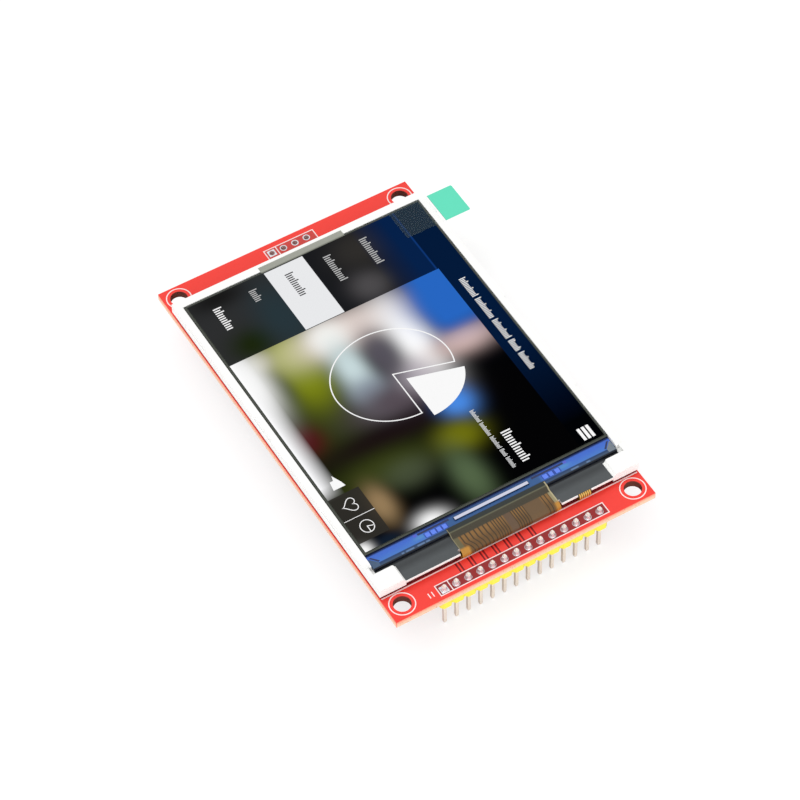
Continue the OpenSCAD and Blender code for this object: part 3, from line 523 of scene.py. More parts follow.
# Finishes of one colour: name, colour from 0 to 255, roughness, then what differs from a plain finish
PLAIN = {
    # Painted shade: the screw holes' drilled glass epoxy walls, darkened to brown.
    "wall": ("drilled_wall_painted_shade", (112, 62, 52), 0.8, dict(gloss=0.1, grain=(5000, 0.35))),
    "ink": ("white_ink", (255, 236, 234), 0.6, dict(gloss=0.2, grain=(14000, 0.12))),
    "tin": ("tin_solder", (226, 229, 233), 0.2,
            dict(metal=0.65, gloss=0.8, grain=(2600, 0.42), bump=0.00014)),
    "pin": ("tinned_pin", (238, 226, 214), 0.34, dict(metal=0.2, gloss=0.6, grain=(2400, 0.2), bump=0.00003)),
    "yellow": ("yellow_nylon", (255, 240, 78), 0.45, dict(gloss=0.4, grain=(3000, 0.05), bump=0.00003)),
    "frame": ("white_moulding", (252, 252, 250), 0.42, dict(gloss=0.35, grain=(2500, 0.03), bump=0.00002)),
    "foam": ("white_foam", (226, 214, 212), 0.9, dict(gloss=0.1, grain=(2600, 0.25), bump=0.0002)),
    "border": ("glass_border", (66, 70, 62), 0.2, dict(gloss=0.3, grain=(2500, 0.15))),
    "glass_edge": ("dark_glass_edge", (16, 20, 34), 0.2, dict(gloss=0.4, grain=(2500, 0.12))),
    "lamp_film": ("lamp_film", (116, 78, 28), 0.35, dict(gloss=0.4, grain=(5000, 0.12))),
    "bright_gold": ("bright_gold", (232, 186, 96), 0.3, dict(metal=0.5, grain=(5000, 0.1))),
    "white_print": ("white_print", (244, 244, 244), 0.4, dict(gloss=0.1, grain=(12000, 0.02))),
    "grey_print": ("grey_print", (178, 178, 178), 0.4, dict(gloss=0.1, grain=(12000, 0.04))),
    "dark_print": ("dark_print", (62, 62, 64), 0.4, dict(gloss=0.1, grain=(12000, 0.04))),
    "pale_print": ("pale_print", (224, 225, 226), 0.4, dict(gloss=0.1, grain=(12000, 0.02))),
    "track_red": ("track_under_mask", (124, 16, 20), 0.4, dict(gloss=0.3, grain=(9000, 0.1))),
    "track_pale": ("track_under_pale_mask", (206, 44, 40), 0.35, dict(gloss=0.35, grain=(9000, 0.08))),
    "plated": ("plated_hole", (214, 190, 186), 0.35, dict(metal=0.4, grain=(4000, 0.2))),
    "pad_blue": ("ledge_pad", (98, 134, 240), 0.3, dict(gloss=0.3, grain=(9000, 0.12))),
    "mark_violet": ("ledge_sign", (88, 100, 206), 0.3, dict(gloss=0.3, grain=(9000, 0.12))),
    # Painted light and shade: the same bare glass, dim in shade at the left corner and pale as lit at the
    # right.
    "corner_painted_shade": ("bare_glass_painted_shade", (70, 92, 120), 0.2, dict(gloss=0.3, grain=(2600, 0.3))),
    "corner_painted_light": ("bare_glass_painted_light", (118, 128, 138), 0.2, dict(gloss=0.3, grain=(2600, 0.3))),
    "mark_dark": ("ledge_mark", (26, 38, 84), 0.35, dict(grain=(9000, 0.12))),
    "reflector": ("reflecting_film", (236, 236, 238), 0.25, dict(grain=(3000, 0.02))),
    "guide": ("clear_acrylic", (222, 236, 238), 0.12, dict(grain=(2000, 0.02))),
    "sheet": ("frosted_sheet", (228, 228, 230), 0.5, dict(grain=(8000, 0.04))),
    "lamp": ("phosphor_lamp", (238, 222, 130), 0.5, dict(grain=(4000, 0.08))),
    "steel": ("tinned_steel", (176, 177, 175), 0.32, dict(metal=0.9, grain=(1800, 0.2), bump=0.00004)),
    "black": ("black_moulding", (28, 28, 29), 0.55, dict(gloss=0.3, grain=(5000, 0.15), bump=0.00004)),
    "contact": ("gold_spring", (214, 172, 88), 0.3, dict(metal=0.9, grain=(3000, 0.12))),
    "package": ("black_epoxy", (30, 30, 32), 0.6, dict(gloss=0.3, grain=(7000, 0.18), bump=0.00004)),
    "resistor": ("black_glaze", (34, 34, 40), 0.3, dict(grain=(7000, 0.15))),
    "capacitor": ("tan_ceramic", (168, 132, 98), 0.5, dict(grain=(7000, 0.12))),
}


# ---------------------------------------------------------------- shapes

def ring(radius_x, radius_y=None, middle=(0, 0), start=0, end=360, steps=64):
    """Points in metres on a circle or an oval round a middle given in metres."""
    radius_y = radius_y or radius_x
    turns = [math.radians(start + (end - start) * k / steps) for k in range(steps + (end - start < 360))]
    return [Vector((middle[0] + radius_x * math.cos(a), middle[1] + radius_y * math.sin(a))) for a in turns]


def rectangle(left, right, near, far):
    """Corners of a rectangle in millimetres from the board's near left corner."""
    return [at(left, near), at(right, near), at(right, far), at(left, far)]


def rounded(low, high, radius):
    """Outline of a box with round corners."""
    corners = ((high.x, high.y, 0), (low.x, high.y, 90), (low.x, low.y, 180), (high.x, low.y, 270))
    points = []
    for x, y, turn in corners:
        middle = (x - math.copysign(radius, x - (low.x + high.x) / 2),
                  y - math.copysign(radius, y - (low.y + high.y) / 2))
        points += ring(radius, middle=middle, start=turn, end=turn + 90, steps=6)
    return points


def add_prism(bm, loop, low, high, index=0):
    """Closed solid over one outline."""
    under = [bm.verts.new((p[0], p[1], low)) for p in loop]
    over = [bm.verts.new((p[0], p[1], high)) for p in loop]
    faces = [bm.faces.new(over), bm.faces.new(under[::-1])]
    for k in range(len(loop)):
        n = (k + 1) % len(loop)
        faces.append(bm.faces.new((under[k], under[n], over[n], over[k])))
    for face in faces:
        face.material_index = index
    return faces


def add_band(bm, inner, outer, low, high, index=0, closed=True):
    """Closed solid between two outlines with as many points, or along an open stroke."""
    rows = [[bm.verts.new((p[0], p[1], z)) for p in loop]
            for loop, z in ((inner, low), (outer, low), (outer, high), (inner, high))]
    count = len(inner)
    for k in range(count if closed else count - 1):
        n = (k + 1) % count
        for a in range(4):
            b = (a + 1) % 4
            bm.faces.new((rows[a][k], rows[a][n], rows[b][n], rows[b][k])).material_index = index
    if not closed:
        for k, turn in ((0, 1), (count - 1, -1)):
            bm.faces.new([rows[a][k] for a in range(4)][::turn]).material_index = index


def add_stroke(bm, points, width, low, high, index=0, closed=False):
    """A line of even width along points, mitred where it turns."""
    inner, outer = [], []
    count = len(points)
    for k, p in enumerate(points):
        before = points[k - 1] if closed or k else None
        after = points[(k + 1) % count] if closed or k < count - 1 else None
        ways = [(b - a).normalized() for a, b in ((before, p), (p, after)) if a is not None and b is not None]
        normals = [Vector((-way.y, way.x)) for way in ways]
        mid = sum(normals, Vector((0, 0))).normalized()
        reach = width / 2 / max(mid.dot(normals[0]), 0.35)
        inner.append(p + mid * reach)
        outer.append(p - mid * reach)
    add_band(bm, inner, outer, low, high, index, closed)


def finish_piece(name, bm, slot, *materials, smooth=None):
    """Makes an object of the mesh, recalculates its outside and lets it ride on the module."""
    bmesh.ops.recalc_face_normals(bm, faces=bm.faces)
    mesh = bpy.data.meshes.new(name)
    bm.to_mesh(mesh)
    bm.free()
    piece = bpy.data.objects.new(name, mesh)
    bpy.context.scene.collection.objects.link(piece)
    for material in materials:
        mesh.materials.append(material)
    if smooth:
        for polygon in mesh.polygons:
            polygon.use_smooth = True
        mesh.set_sharp_from_angle(angle=math.radians(smooth))
        weigh = piece.modifiers.new("even_shading", "WEIGHTED_NORMAL")
        weigh.keep_sharp = True
    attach(piece, "root")
    return piece


def islands(bm):
    """Lists the separate solids of a mesh as lists of faces."""
    left, found = set(bm.faces), []
    while left:
        todo, solid = [left.pop()], []
        while todo:
            face = todo.pop()
            solid.append(face)
            for edge in face.edges:
                for other in edge.link_faces:
                    if other in left:
                        left.remove(other)
                        todo.append(other)
        found.append(solid)
    return found


def refine(node, name, slot, materials, width=0.06, choose=None, pick=None, segments=2):
    """A node's shape with its long outer edges rounded; choose gives each face its material."""
    bm = bmesh.new()
    bm.from_mesh(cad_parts[node].data)
    bmesh.ops.remove_doubles(bm, verts=bm.verts, dist=1e-6)
    bmesh.ops.dissolve_limit(bm, angle_limit=math.radians(0.5), verts=bm.verts, edges=bm.edges)
    for face in bm.faces:
        face.material_index = 0
    if choose:
        for solid in islands(bm):
            spots = [v.co for face in solid for v in face.verts]
            low = Vector([min(p[k] for p in spots) for k in range(3)])
            high = Vector([max(p[k] for p in spots) for k in range(3)])
            for face in solid:
                face.material_index = choose(face.calc_center_median(), face.normal, low, high)
    if width:
        edges = [e for e in bm.edges if len(e.link_faces) == 2 and e.is_convex
                 and e.calc_face_angle() > math.radians(40) and e.calc_length() > 2.5 * width * MM
                 and (pick is None or pick(*(v.co for v in e.verts)))]
        bmesh.ops.bevel(bm, geom=edges, offset=width * MM, segments=segments, affect="EDGES",
                        profile=0.5, clamp_overlap=True)
    piece = finish_piece(name, bm, slot, *materials, smooth=42)
    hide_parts(node)
    return piece


# ---------------------------------------------------------------- circuit board

def board_face(centre, normal, low, high):
    """0 on the masked faces, 1 on the cut edge, 2 in the screw holes, 3 in the plated holes."""
    if abs(normal.z) > 0.7:
        return 0
    outside = min(centre.x - low.x, high.x - centre.x, centre.y - low.y, high.y - centre.y)
    if outside < 0.1 * MM:
        return 1
    corner = max(abs(centre.x) - (high.x - 5 * MM), abs(centre.y) - (high.y - 5 * MM) - 10)
    return 2 if corner > 0 and abs(centre.y) > high.y - 5 * MM else 3


def make_board():
    outline = 0.2 * MM

    def outer(a, b):
        return all(min(abs(p.x - BOARD_LOW.x), abs(p.x - BOARD_HIGH.x),
                       abs(p.y - BOARD_LOW.y), abs(p.y - BOARD_HIGH.y)) < outline for p in (a, b))

    refine("circuit_board", "board", "board",
           (FINISH["red"], FINISH["epoxy"], FINISH["wall"], FINISH["plated"]),
           width=0.06, choose=board_face, pick=outer)


def add_screw_rings(bm, low, high, inset=3.0):
    """A ring round each screw hole."""
    for x in (inset, BOARD_WIDTH - inset):
        for y in (inset, BOARD_LENGTH - inset):
            add_band(bm, ring(2.3 * MM, middle=at(x, y)), ring(2.51 * MM, middle=at(x, y)), low, high)


def print_ink_top():
    """White lines on the upper side: screw rings, header boxes and the line along the screen unit."""
    bm = bmesh.new()
    low, high = TOP_Z, TOP_Z + INK_T
    add_screw_rings(bm, low, high)
    line = 0.2 * MM
    for left, right, near, far, divider in ((9.86, 45.5, 0.81, 3.24, 12.4), (22.5, 33.3, 85.1, 88.0, 25.0)):
        add_stroke(bm, rectangle(left, right, near, far), line, low, high, closed=True)
        add_stroke(bm, [at(divider, near + 0.11), at(divider, far - 0.11)], line, low, high)
    add_stroke(bm, [at(0.3, 5.74), at(BOARD_WIDTH - 0.3, 5.74)], 0.24 * MM, low, high)
    for x, tall in ((8.0, 1.15), (8.75, 1.15)):
        add_stroke(bm, [at(x, 1.35), at(x, 1.35 + tall)], line, low, high)
    finish_piece("ink_top", bm, "board", FINISH["ink"])


def print_tracks_top():
    """Pairs of copper lines that run from under the screen unit to the header."""
    bm = bmesh.new()
    for pair in range(7):
        x = 15.6 + pair * 2.54
        for step in (0.0, 0.68):
            add_stroke(bm, [at(x + step, 3.42), at(x + step, 6.2)], 0.3 * MM, TOP_Z, TOP_Z + TRACK_T)
    finish_piece("tracks_top", bm, "board", FINISH["track_red"])


def solids(node):
    """Boxes of the separate solids of a CAD node."""
    bm = bmesh.new()
    bm.from_mesh(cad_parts[node].data)
    bmesh.ops.remove_doubles(bm, verts=bm.verts, dist=1e-6)
    found = []
    for solid in islands(bm):
        spots = [v.co.copy() for face in solid for v in face.verts]
        found.append([Vector([end(p[k] for p in spots) for k in range(3)]) for end in (min, max)])
    bm.free()
    return sorted(found, key=lambda pair: (round(pair[0].x, 4), pair[0].y))


def box_outline(low, high, room):
    return [Vector(p) for p in ((low.x - room, low.y - room), (high.x + room, low.y - room),
                                (high.x + room, high.y + room), (low.x - room, high.y + room))]


def small_parts():
    nodes = ("resistors", "capacitors", "regulator", "transistor")
    return [pair for node in nodes for pair in solids(node)]


def print_ink_under():
    """White lines on the underside: rings, part outlines and plain bars where words would be."""
    bm = bmesh.new()
    low, high = BOARD_LOW.z - INK_T, BOARD_LOW.z
    line, room, bar = 0.15 * MM, 0.28 * MM, 0.3 * MM
    add_screw_rings(bm, low, high)
    for part_low, part_high in small_parts():
        add_stroke(bm, box_outline(part_low, part_high, room), 0.13 * MM, low, high, closed=True)
        left = part_high.x + 0.55 * MM
        for y, wide in ((0.15, 0.9), (-0.5, 0.55)):
            near = (part_low.y + part_high.y) / 2 + y * MM
            corners = Vector((left, near)), Vector((left + wide * MM, near + bar))
            add_prism(bm, box_outline(*corners, 0), low, high)
    add_stroke(bm, box_outline(*box("header_strip"), room), line, low, high, closed=True)
    shell_low, shell_high = box("socket_shell")
    near, far = shell_low.y - 0.4 * MM, shell_high.y + 0.4 * MM
    back = box("socket_contacts")[0].x - 0.5 * MM
    around = ((shell_high.x, near), (back, near), (back, far), (shell_high.x, far))
    add_stroke(bm, [Vector(p) for p in around], line, low, high)
    add_stroke(bm, rectangle(22.5, 33.3, 85.1, 88.0), line, low, high, closed=True)
    for k in range(1, 15):
        x = (box(f"header_pin_{k}")[0].x - BOARD_LOW.x) / MM
        for step, tall in ((0.0, 1.5), (0.42, 1.0 + 0.25 * (k % 3))):
            add_prism(bm, rectangle(x + step, x + step + 0.26, 3.7, 3.7 + tall), low, high)
    for left, right, near, far in ((4, 20, 57.2, 59.2), (4, 15.5, 54.2, 55.6), (4, 12.5, 51.8, 52.6),
                                   (17, 21.5, 85.6, 86.2), (34.3, 38, 85.6, 86.2)):
        add_prism(bm, rectangle(left, right, near, far), low, high)
    finish_piece("ink_under", bm, "board", FINISH["ink"])


def print_tracks_under():
    """Copper lines under the mask of the underside, with tinned through holes at their ends."""
    bm, tinned = bmesh.new(), bmesh.new()
    low, high = BOARD_LOW.z - TRACK_T, BOARD_LOW.z

    def line(points, width=0.3):
        add_stroke(bm, [Vector((x * MM, y * MM)) for x, y in points], width * MM, low, high)

    def hole(x, y):
        place = Vector((x * MM, y * MM))
        inner, outer = (ring(radius * MM, middle=place, steps=20) for radius in (0.15, 0.33))
        add_band(tinned, inner, outer, low - 0.01 * MM, high)

    pins = [(box(f"header_pin_{k}")[0].x + PIN_HALF) / MM for k in range(1, 15)]
    parts = [(low_end.x / MM, high_end.x / MM) for low_end, high_end in small_parts()
             if high_end.y < BOARD_LOW.y + 12 * MM]
    near = BOARD_LOW.y / MM
    for k, x in enumerate(pins):
        blocked = any(left - 0.35 < x < right + 0.35 for left, right in parts)
        far = near + (6.4 if blocked else 11.6 + 0.9 * (k % 4))
        line([(x, near + 3.4), (x, far)])
        if not blocked:
            hole(x, far)
    for k, (left, near_end) in enumerate(((-26.0, -30), (-25.3, -31), (-24.6, -32), (-23.9, -33))):
        line([(left, 34 - 2 * k), (left, near_end), (pins[k % 3] + 2 - 0.4 * k, near_end - 1)])
        hole(left, 34 - 2 * k)
    for k, x in enumerate((-3.81, -1.27, 1.27, 3.81)):
        lane, level = -2.1 + 0.6 * k, 16.5 + 2.5 * k
        line([(x, 41.2), (x, 38), (lane, 38 - abs(x - lane)), (lane, level), (1.1, level)])
    for k, level in enumerate((4.0, 6.5, 9.0, 11.5, 14.0)):
        line([(1.1, level), (-1.0 - 0.3 * k, level)])
        hole(-1.0 - 0.3 * k, level)
    line([(14.5, -33), (14.5, -22), (8, -15.5), (8, -3)], 0.9)
    line([(18, -34.6), (18, -20), (22, -16), (22, -3)], 0.9)
    for column in (-9, -12, -15):
        for level in (-24, -12, 12, 24):
            hole(column, level)
    finish_piece("tracks_under", bm, "board", FINISH["track_pale"])
    finish_piece("through_holes", tinned, "solder", FINISH["tin"])


def make_fillets():
    """Solder wedges at the ends of the small parts and beside the socket's feet."""
    bm = bmesh.new()
    reach, tall = 0.26 * MM, 0.24 * MM

    def wedge(x, y, way, half):
        side = Vector((-way[1], way[0]))
        foot = Vector((x, y))
        toe = foot + Vector(way) * reach
        rows = [[bm.verts.new((p.x + side.x * half * s, p.y + side.y * half * s, BOARD_LOW.z - z))
                 for p, z in ((foot, 0), (toe, 0), (foot, tall))] for s in (-1, 1)]
        bm.faces.new(rows[0])
        bm.faces.new(rows[1][::-1])
        for a in range(3):
            b = (a + 1) % 3
            bm.faces.new((rows[0][a], rows[0][b], rows[1][b], rows[1][a]))

    for node in ("resistors", "capacitors"):
        for low, high in solids(node):
            middle = (low + high) / 2
            if high.y - low.y > high.x - low.x:
                wedge(middle.x, high.y, (0, 1), 0.36 * MM)
                wedge(middle.x, low.y, (0, -1), 0.36 * MM)
            else:
                wedge(high.x, middle.y, (1, 0), 0.36 * MM)
                wedge(low.x, middle.y, (-1, 0), 0.36 * MM)
    for low, high in solids("socket_contacts"):
        wedge(low.x, (low.y + high.y) / 2, (-1, 0), 0.42 * MM)
    finish_piece("solder_fillets", bm, "solder", FINISH["tin"])


def make_pads():
    """Tinned rings round the drilled holes, square at each first hole."""
    bm = bmesh.new()
    header_y = box("header_pin_1")[0].y + PIN_HALF
    far_y = BOARD_HIGH.y - 2.45 * MM
    pins = [(box(f"header_pin_{k}")[0].x + PIN_HALF, header_y, k == 1) for k in range(1, 15)]
    cards = [((k - 1.5) * PIN_PITCH, far_y, k == 0) for k in range(4)]
    for x, y, first in pins + cards:
        hole = ring(0.53 * MM, middle=(x, y), steps=32)
        edge = ring(0.72 * MM, middle=(x, y), steps=32)
        if first:
            middle, reach = Vector((x, y)), 0.78 * MM
            edge = [middle + (p - middle) * (reach / max(abs(p.x - x), abs(p.y - y))) for p in edge]
        for low, high in ((TOP_Z, TOP_Z + PAD_T), (BOARD_LOW.z - PAD_T, BOARD_LOW.z)):
            add_band(bm, hole, edge, low, high)
    finish_piece("tinned_pads", bm, "solder", FINISH["tin"])


def make_header():
    refine("header_strip", "header_insulator", "pin_insulator", (FINISH["yellow"],), width=0.08)
    for k in range(1, 15):
        refine(f"header_pin_{k}", f"pin_{k}", "pins", (FINISH["pin"],), width=0.05)
    wear("header_solder", "tin")


def wear(node, finish):
    """Gives a CAD node, whose shape is right as it is, its finish."""
    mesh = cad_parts[node].data
    mesh.materials.clear()
    mesh.materials.append(FINISH[finish])


# ---------------------------------------------------------------- screen unit

def make_frame():
    def seen(a, b):
        return min(a.z, b.z) > TOP_Z + 1.2 * MM or max(a.z, b.z) < FRAME_LOW.z + 0.1 * MM

    refine("backlight_frame", "white_frame", "frame", (FINISH["frame"],), width=0.09, pick=seen)


def edge_or(face_index, edge_index):
    return lambda centre, normal, low, high: face_index if normal.z > 0.5 else edge_index


def make_glass():
    refine("array_glass", "lower_plate", "ledge_glass", (FINISH["ledge"], FINISH["glass_edge"]),
           width=0.05, choose=edge_or(0, 1), segments=1)
    refine("filter_glass", "upper_plate", "screen_glass", (FINISH["border"], FINISH["glass_edge"]),
           width=0.05, choose=edge_or(0, 1), segments=1)
    refine("driver_chip", "bare_chip", "chip", (FINISH["silicon"],), width=0.03, segments=1)
    refine("front_polariser", "polariser_plate", "screen", (FINISH["border"],), width=0.02, segments=1)
    refine("screen_film", "picture_film", "screen", (FINISH["picture"],), width=0.02, segments=1)


def mark_ledge():
    """Metal marks on the ledge: pads beside the chip, bars by the upper plate, and the two bare corners, one
    bare glass painted dim in shade on the left and pale as lit on the right.
    """
    low = GLASS_HIGH.z
    high = low + 0.012 * MM
    bm = bmesh.new()
    pads = ((13.4, 0.9), (14.6, 0.9), (15.82, 0.85), (17.0, 0.85), (38.4, 0.95), (39.7, 0.8), (41.0, 0.9))
    for x, wide in pads:
        add_prism(bm, rectangle(x, x + wide, 11.68, 12.64), low, high)
    finish_piece("ledge_pads", bm, "ledge_glass", FINISH["pad_blue"])
    bm = bmesh.new()
    for left, right in ((12.2, 18.8), (36.4, 43.2)):
        add_prism(bm, rectangle(left, right, 12.86, 13.3), low, high)
    for side in (1, -1):
        slash = ((25.5, 13.1), (25.1, 13.1), (23.9, 11.75), (24.25, 11.6))
        add_prism(bm, [at(BOARD_WIDTH / 2 - side * x, y) for x, y in slash][::side], low, high)
    finish_piece("ledge_marks", bm, "ledge_glass", FINISH["mark_dark"])
    bm = bmesh.new()
    for x in (11.35, 43.3):
        add_prism(bm, rectangle(x, x + 0.6, 12.8, 13.38), low, high)
    finish_piece("ledge_signs", bm, "ledge_glass", FINISH["mark_violet"])
    bm = bmesh.new()
    # Painted light and shade: one bare glass, dim at the left corner and pale at the right.
    for side in (1, -1):
        bare = ((25.8, 12.9), (25.5, 12.8), (24.3, 11.55), (24.3, 10.75), (25.8, 10.75))
        corner = [at(BOARD_WIDTH / 2 - side * x, y) for x, y in bare]
        add_prism(bm, corner[::side], low, high, index=0 if side > 0 else 1)
    finish_piece("ledge_corners", bm, "ledge_glass", FINISH["corner_painted_shade"], FINISH["corner_painted_light"])


def on_picture(x, y):
    return at(x, y - PICTURE_DROP)


def picture_box(left, right, near, far):
    return rectangle(left, right, near - PICTURE_DROP, far - PICTURE_DROP)


def print_white():
    """White shapes of the picture: ring chart, its wedge, menu bars, signs and tile outlines."""
    bm = bmesh.new()
    low, high = SCREEN_TOP, SCREEN_TOP + PRINT_T
    middle = on_picture(27.05, 46.95)
    start = math.degrees(math.atan2(-3.4 / 10.65, 11.5 / 12.05))
    arc = ring(12.05 * MM, 10.65 * MM, middle, start, 270, steps=96)
    add_stroke(bm, arc + [middle], 0.24 * MM, low, high, closed=True)
    apex = on_picture(28.72, 44.78)
    add_prism(bm, [apex] + ring(11.3 * MM, 10.15 * MM, apex, 270, 270 + 72, steps=32), low, high)
    for x in (49.1, 50.03, 50.95):
        add_prism(bm, picture_box(x, x + 0.62, 15.1, 18.05), low, high)
    bell = ((4.1, 29.3), (6.6, 29.3), (6.3, 30.4), (5.4, 32.4), (5.1, 31.3), (4.4, 31.3))
    add_prism(bm, [on_picture(*p) for p in bell], low, high)
    heart = [on_picture(5.25 + 1.5 * (p[1] - 0.1), 24.95 + 1.5 * p[0]) for p in heart_shape()]
    add_stroke(bm, heart, 0.17 * MM, low, high, closed=True)
    dial = ring(1.3 * MM, 1.42 * MM, on_picture(5.3, 19.3), steps=40)
    add_stroke(bm, dial, 0.17 * MM, low, high, closed=True)
    hand = ((6.55, 18.9), (5.3, 19.3), (5.3, 17.95))
    add_stroke(bm, [on_picture(*p) for p in hand], 0.17 * MM, low, high)
    add_stroke(bm, [on_picture(2.1, 22.05), on_picture(8.4, 22.05)], 0.12 * MM, low, high)
    finish_piece("picture_white", bm, "screen", FINISH["white_print"])


def heart_shape(steps=40):
    """A heart of half width 1, as across and along pairs."""
    points = []
    for a in (2 * math.pi * k / steps for k in range(steps)):
        height = 13 * math.cos(a) - 5 * math.cos(2 * a) - 2 * math.cos(3 * a) - math.cos(4 * a)
        points.append((math.sin(a) ** 3, height / 16))
    return points


def add_words(bm, x, tall, far, near, words, low, high):
    """A line of plain strokes that runs down along Y from far to near, in groups as long as its words."""
    steps = sum(words) + 1.4 * (len(words) - 1)
    step = (far - near) / steps
    y = far
    for word in words:
        for k in range(word):
            reach = tall if k == 0 or (k * 7 + word) % 5 == 0 else 0.72 * tall
            add_prism(bm, picture_box(x, x + reach, y - 0.5 * step, y), low, high)
            y -= step
        y -= 1.4 * step


def print_words():
    low, high = SCREEN_TOP, SCREEN_TOP + PRINT_T
    rows = {
        "words_bright": ("white_print", ((49.5, 1.4, 60.2, 34.4, (14, 15, 14, 8, 12)),
                                         (36.9, 2.0, 24.8, 16.6, (13,)), (5.9, 1.8, 78.2, 72.1, (11,)))),
        "words_small": ("pale_print", ((34.6, 0.95, 32.0, 16.6, (14, 15, 14, 8, 12)),)),
        "words_grey": ("grey_print", ((13.9, 1.7, 78.6, 75.4, (7,)), (30.2, 1.7, 78.6, 71.4, (14,)),
                                      (38.3, 1.7, 78.8, 71.5, (14,)))),
        "words_dark": ("dark_print", ((21.8, 1.8, 78.6, 72.2, (12,)),)),
    }
    for name, (finish, words) in rows.items():
        bm = bmesh.new()
        for x, tall, far, near, groups in words:
            add_words(bm, x, tall, far, near, groups, low, high)
        finish_piece(name, bm, "screen", FINISH[finish])


# ---------------------------------------------------------------- flexible circuits

def sheet_arc(middle, radius, start, end, steps=20):
    return [Vector((middle[0] + radius * math.cos(math.radians(start + (end - start) * k / steps)),
                    middle[1] + radius * math.sin(math.radians(start + (end - start) * k / steps))))
            for k in range(steps + 1)]


THICK = 0.1 * MM
BOND = 1.0 * MM


def display_edge(depth):
    """Side view of the display's circuit, depth away from its inner face, as Y and Z points."""
    step = 0.75 * MM
    glass_z = GLASS_LOW.z
    turn = math.degrees(math.acos(1 - (GLASS_HIGH.z - glass_z) / (2 * step + THICK)))
    run = (2 * step + THICK) * math.sin(math.radians(turn))
    fold = (glass_z + THICK - TOP_Z) / 2
    middle = (FLEX_LOW.y + fold, TOP_Z + fold)
    return ([Vector((GLASS_LOW.y + BOND, GLASS_HIGH.z + depth))]
            + sheet_arc((GLASS_LOW.y, GLASS_HIGH.z - step), step + depth, 90, 90 + turn)
            + sheet_arc((GLASS_LOW.y - run, glass_z + THICK + step), step + THICK - depth, 270 + turn, 270)
            + sheet_arc(middle, fold - THICK + depth, 90, 270, 32)
            + [Vector((middle[0] + 8 * MM, TOP_Z + THICK - depth))])


def tail_edge(depth):
    """Side view of the lamps' tail."""
    low, high = box("lamp_flex")
    tape_low = high.z
    fold = (tape_low - TOP_Z) / 2
    middle = (low.y + fold, TOP_Z + fold)
    return ([Vector((box("lamp_1")[0].y - 1.0 * MM, tape_low - THICK + depth))]
            + sheet_arc(middle, fold - THICK + depth, 90, 270, 32)
            + [Vector((middle[0] + 8 * MM, TOP_Z + THICK - depth))])


def add_bent(bm, inner, outer, left, right, index=0):
    """Closed strip between two side views, from left to right."""
    add_side = [[bm.verts.new((x, p.x, p.y)) for p in loop] for x in (left, right) for loop in (inner, outer)]
    rows = (add_side[0], add_side[1], add_side[3], add_side[2])
    for k in range(len(inner) - 1):
        for a in range(4):
            b = (a + 1) % 4
            bm.faces.new((rows[a][k], rows[a][k + 1], rows[b][k + 1], rows[b][k])).material_index = index
    for k, turn in ((0, 1), (len(inner) - 1, -1)):
        bm.faces.new([row[k] for row in rows][::turn]).material_index = index


def make_flexes():
    bm = bmesh.new()
    add_bent(bm, display_edge(0), display_edge(THICK), FLEX_LOW.x, FLEX_HIGH.x)
    piece = finish_piece("display_circuit", bm, "flex", FINISH["amber"], smooth=40)
    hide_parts("display_flex")
    high = box("lamp_flex")[1]
    tail_x = 15.8 * MM
    bm = bmesh.new()
    half = 1.3 * MM
    add_bent(bm, tail_edge(0), tail_edge(THICK), tail_x - half, tail_x + half)
    inner = tail_edge(0)[0].x
    strip = (Vector((-23 * MM, inner)), Vector((23 * MM, inner + 3 * MM)))
    add_prism(bm, box_outline(*strip, 0), high.z - THICK, high.z)
    piece = finish_piece("lamp_circuit", bm, "flex", FINISH["lamp_film"], smooth=40)
    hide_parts("lamp_flex")
    bm = bmesh.new()
    half, seen = 0.12 * MM, 34
    for k in range(6):
        x = tail_x + (k - 2.5) * 0.42 * MM
        add_bent(bm, tail_edge(THICK)[:seen], tail_edge(THICK + TRACK_T)[:seen], x - half, x + half)
    finish_piece("lamp_tracks", bm, "flex", FINISH["bright_gold"], smooth=40)


# ---------------------------------------------------------------- films

def make_films():
    low, high = box("pull_tab")
    bm = bmesh.new()
    add_prism(bm, rounded(low, high, 0.3 * MM), low.z + 0.01 * MM, high.z)
    piece = finish_piece("peel_tab", bm, "tab", FINISH["tab"])
    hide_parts("pull_tab")
    refine("edge_tape", "rim_strip", "clear_film", (FINISH["grey_tape"],), width=0)
    refine("rim_tape", "dark_rim_tape", "tape", (FINISH["tape"],), width=0.02, segments=1)
    for side in ("left", "right"):
        refine(f"foam_tape_{side}", f"foam_{side}", "foam", (FINISH["foam"],), width=0.05)
    sheets = (("reflector_sheet", "reflector"), ("light_guide", "guide"), ("diffuser_sheet", "sheet"),
              ("lower_prism_sheet", "sheet"), ("upper_prism_sheet", "sheet"), ("rear_polariser", "border"))
    for node, finish in sheets:
        wear(node, finish)
    wear("flex_solder", "tin")
    for k in range(1, 7):
        wear(f"lamp_{k}", "lamp")


# ---------------------------------------------------------------- underside

def chip_face(centre, normal, low, high):
    """1 on the metal caps at a chip part's ends, 0 on its body."""
    size = high - low
    along = 0 if size.x > size.y else 1
    reach = abs(centre[along] - (low[along] + high[along]) / 2)
    return 1 if reach > size[along] / 2 - 0.35 * MM else 0


def package_face(centre, normal, low, high):
    """1 on the leads of a small package, 0 on its body."""
    return 1 if abs(centre.x - (low.x + high.x) / 2) > 0.66 * MM else 0


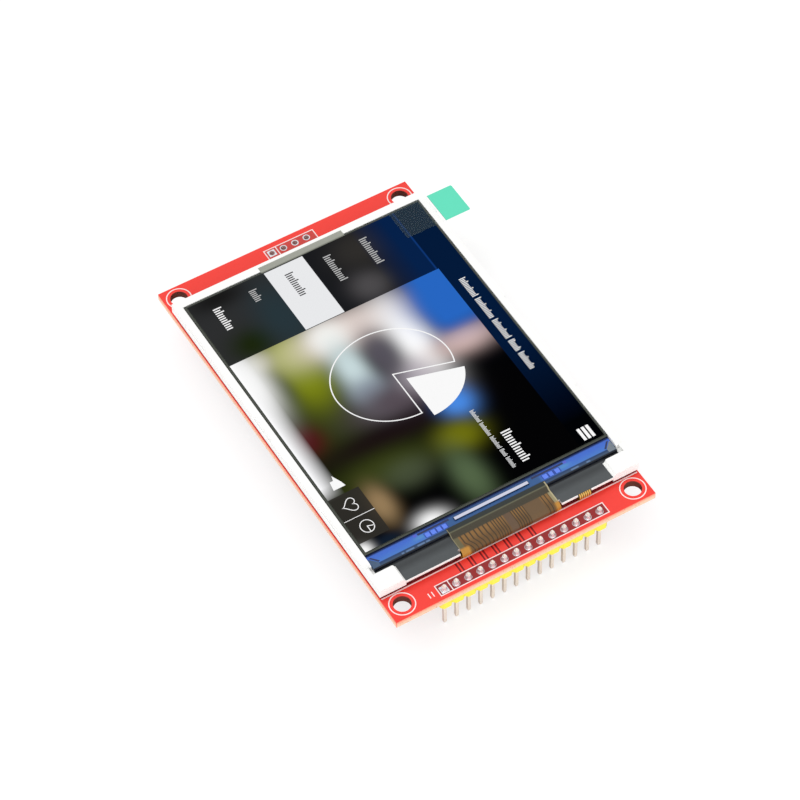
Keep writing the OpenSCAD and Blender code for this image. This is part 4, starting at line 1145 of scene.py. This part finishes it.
def make_underside():
    refine("socket_shell", "socket_can", "socket_steel", (FINISH["steel"],), width=0.04)
    refine("socket_base", "socket_body", "socket_plastic", (FINISH["black"],), width=0.05)
    refine("socket_contacts", "socket_springs", "contacts", (FINISH["contact"],), width=0)
    refine("resistors", "chip_resistors", "resistor", (FINISH["resistor"], FINISH["tin"]), width=0.03,
           choose=chip_face, segments=1)
    refine("capacitors", "chip_capacitors", "capacitor", (FINISH["capacitor"], FINISH["tin"]), width=0.05,
           choose=chip_face)
    for node, name in (("regulator", "voltage_regulator"), ("transistor", "lamp_transistor")):
        refine(node, name, "package", (FINISH["package"], FINISH["tin"]), width=0.03,
               choose=package_face, segments=1)


FINISH = {}


def make_finishes():
    make_field_group()
    make_glow_group()
    make_grain_group()
    make_stripe_group()
    FINISH.update({
        "red": red_mask(), "epoxy": glass_epoxy(), "tape": dark_tape(), "ledge": ledge_coat(),
        "silicon": chip_silicon(), "amber": amber_film(), "picture": screen_picture(), "tab": tab_film(),
        "grey_tape": grey_tape(),
    })
    for key, (name, colour, rough, more) in PLAIN.items():
        FINISH[key] = Finish(name, paint(*colour), rough, **more).material


def make_floor():
    bm = bmesh.new()
    height = cad_bounds[0][2]
    corners = [(-1.5, -1.5), (1.5, -1.5), (1.5, 1.5), (-1.5, 1.5)]
    bm.faces.new([bm.verts.new((x, y, height)) for x, y in corners])
    mesh = bpy.data.meshes.new("bench_top")
    bm.to_mesh(mesh)
    bm.free()
    floor = bpy.data.objects.new("bench_top", mesh)
    bpy.context.scene.collection.objects.link(floor)
    finish = Finish("bench_paper", (0.9, 0.9, 0.9), 0.9, gloss=0.0, grain=(20, 0.0))
    path = finish.w.tree.nodes.new("ShaderNodeLightPath")
    seen = path.outputs["Is Camera Ray"]
    finish.colour(finish.w.mix(seen, (0.9, 0.9, 0.9, 1), (0.4, 0.4, 0.4, 1)))
    finish.set(Emission_Color=(1, 1, 1, 1))
    finish.w.put(finish.shader.inputs["Emission Strength"], finish.w.math("MULTIPLY", seen, 0.68))
    mesh.materials.append(finish.material)


set_camera()
set_light()
make_finishes()
make_floor()
make_board()
print_ink_top()
print_tracks_top()
print_ink_under()
print_tracks_under()
make_fillets()
make_pads()
make_header()
make_frame()
make_glass()
mark_ledge()
print_white()
print_words()
make_flexes()
make_films()
make_underside()
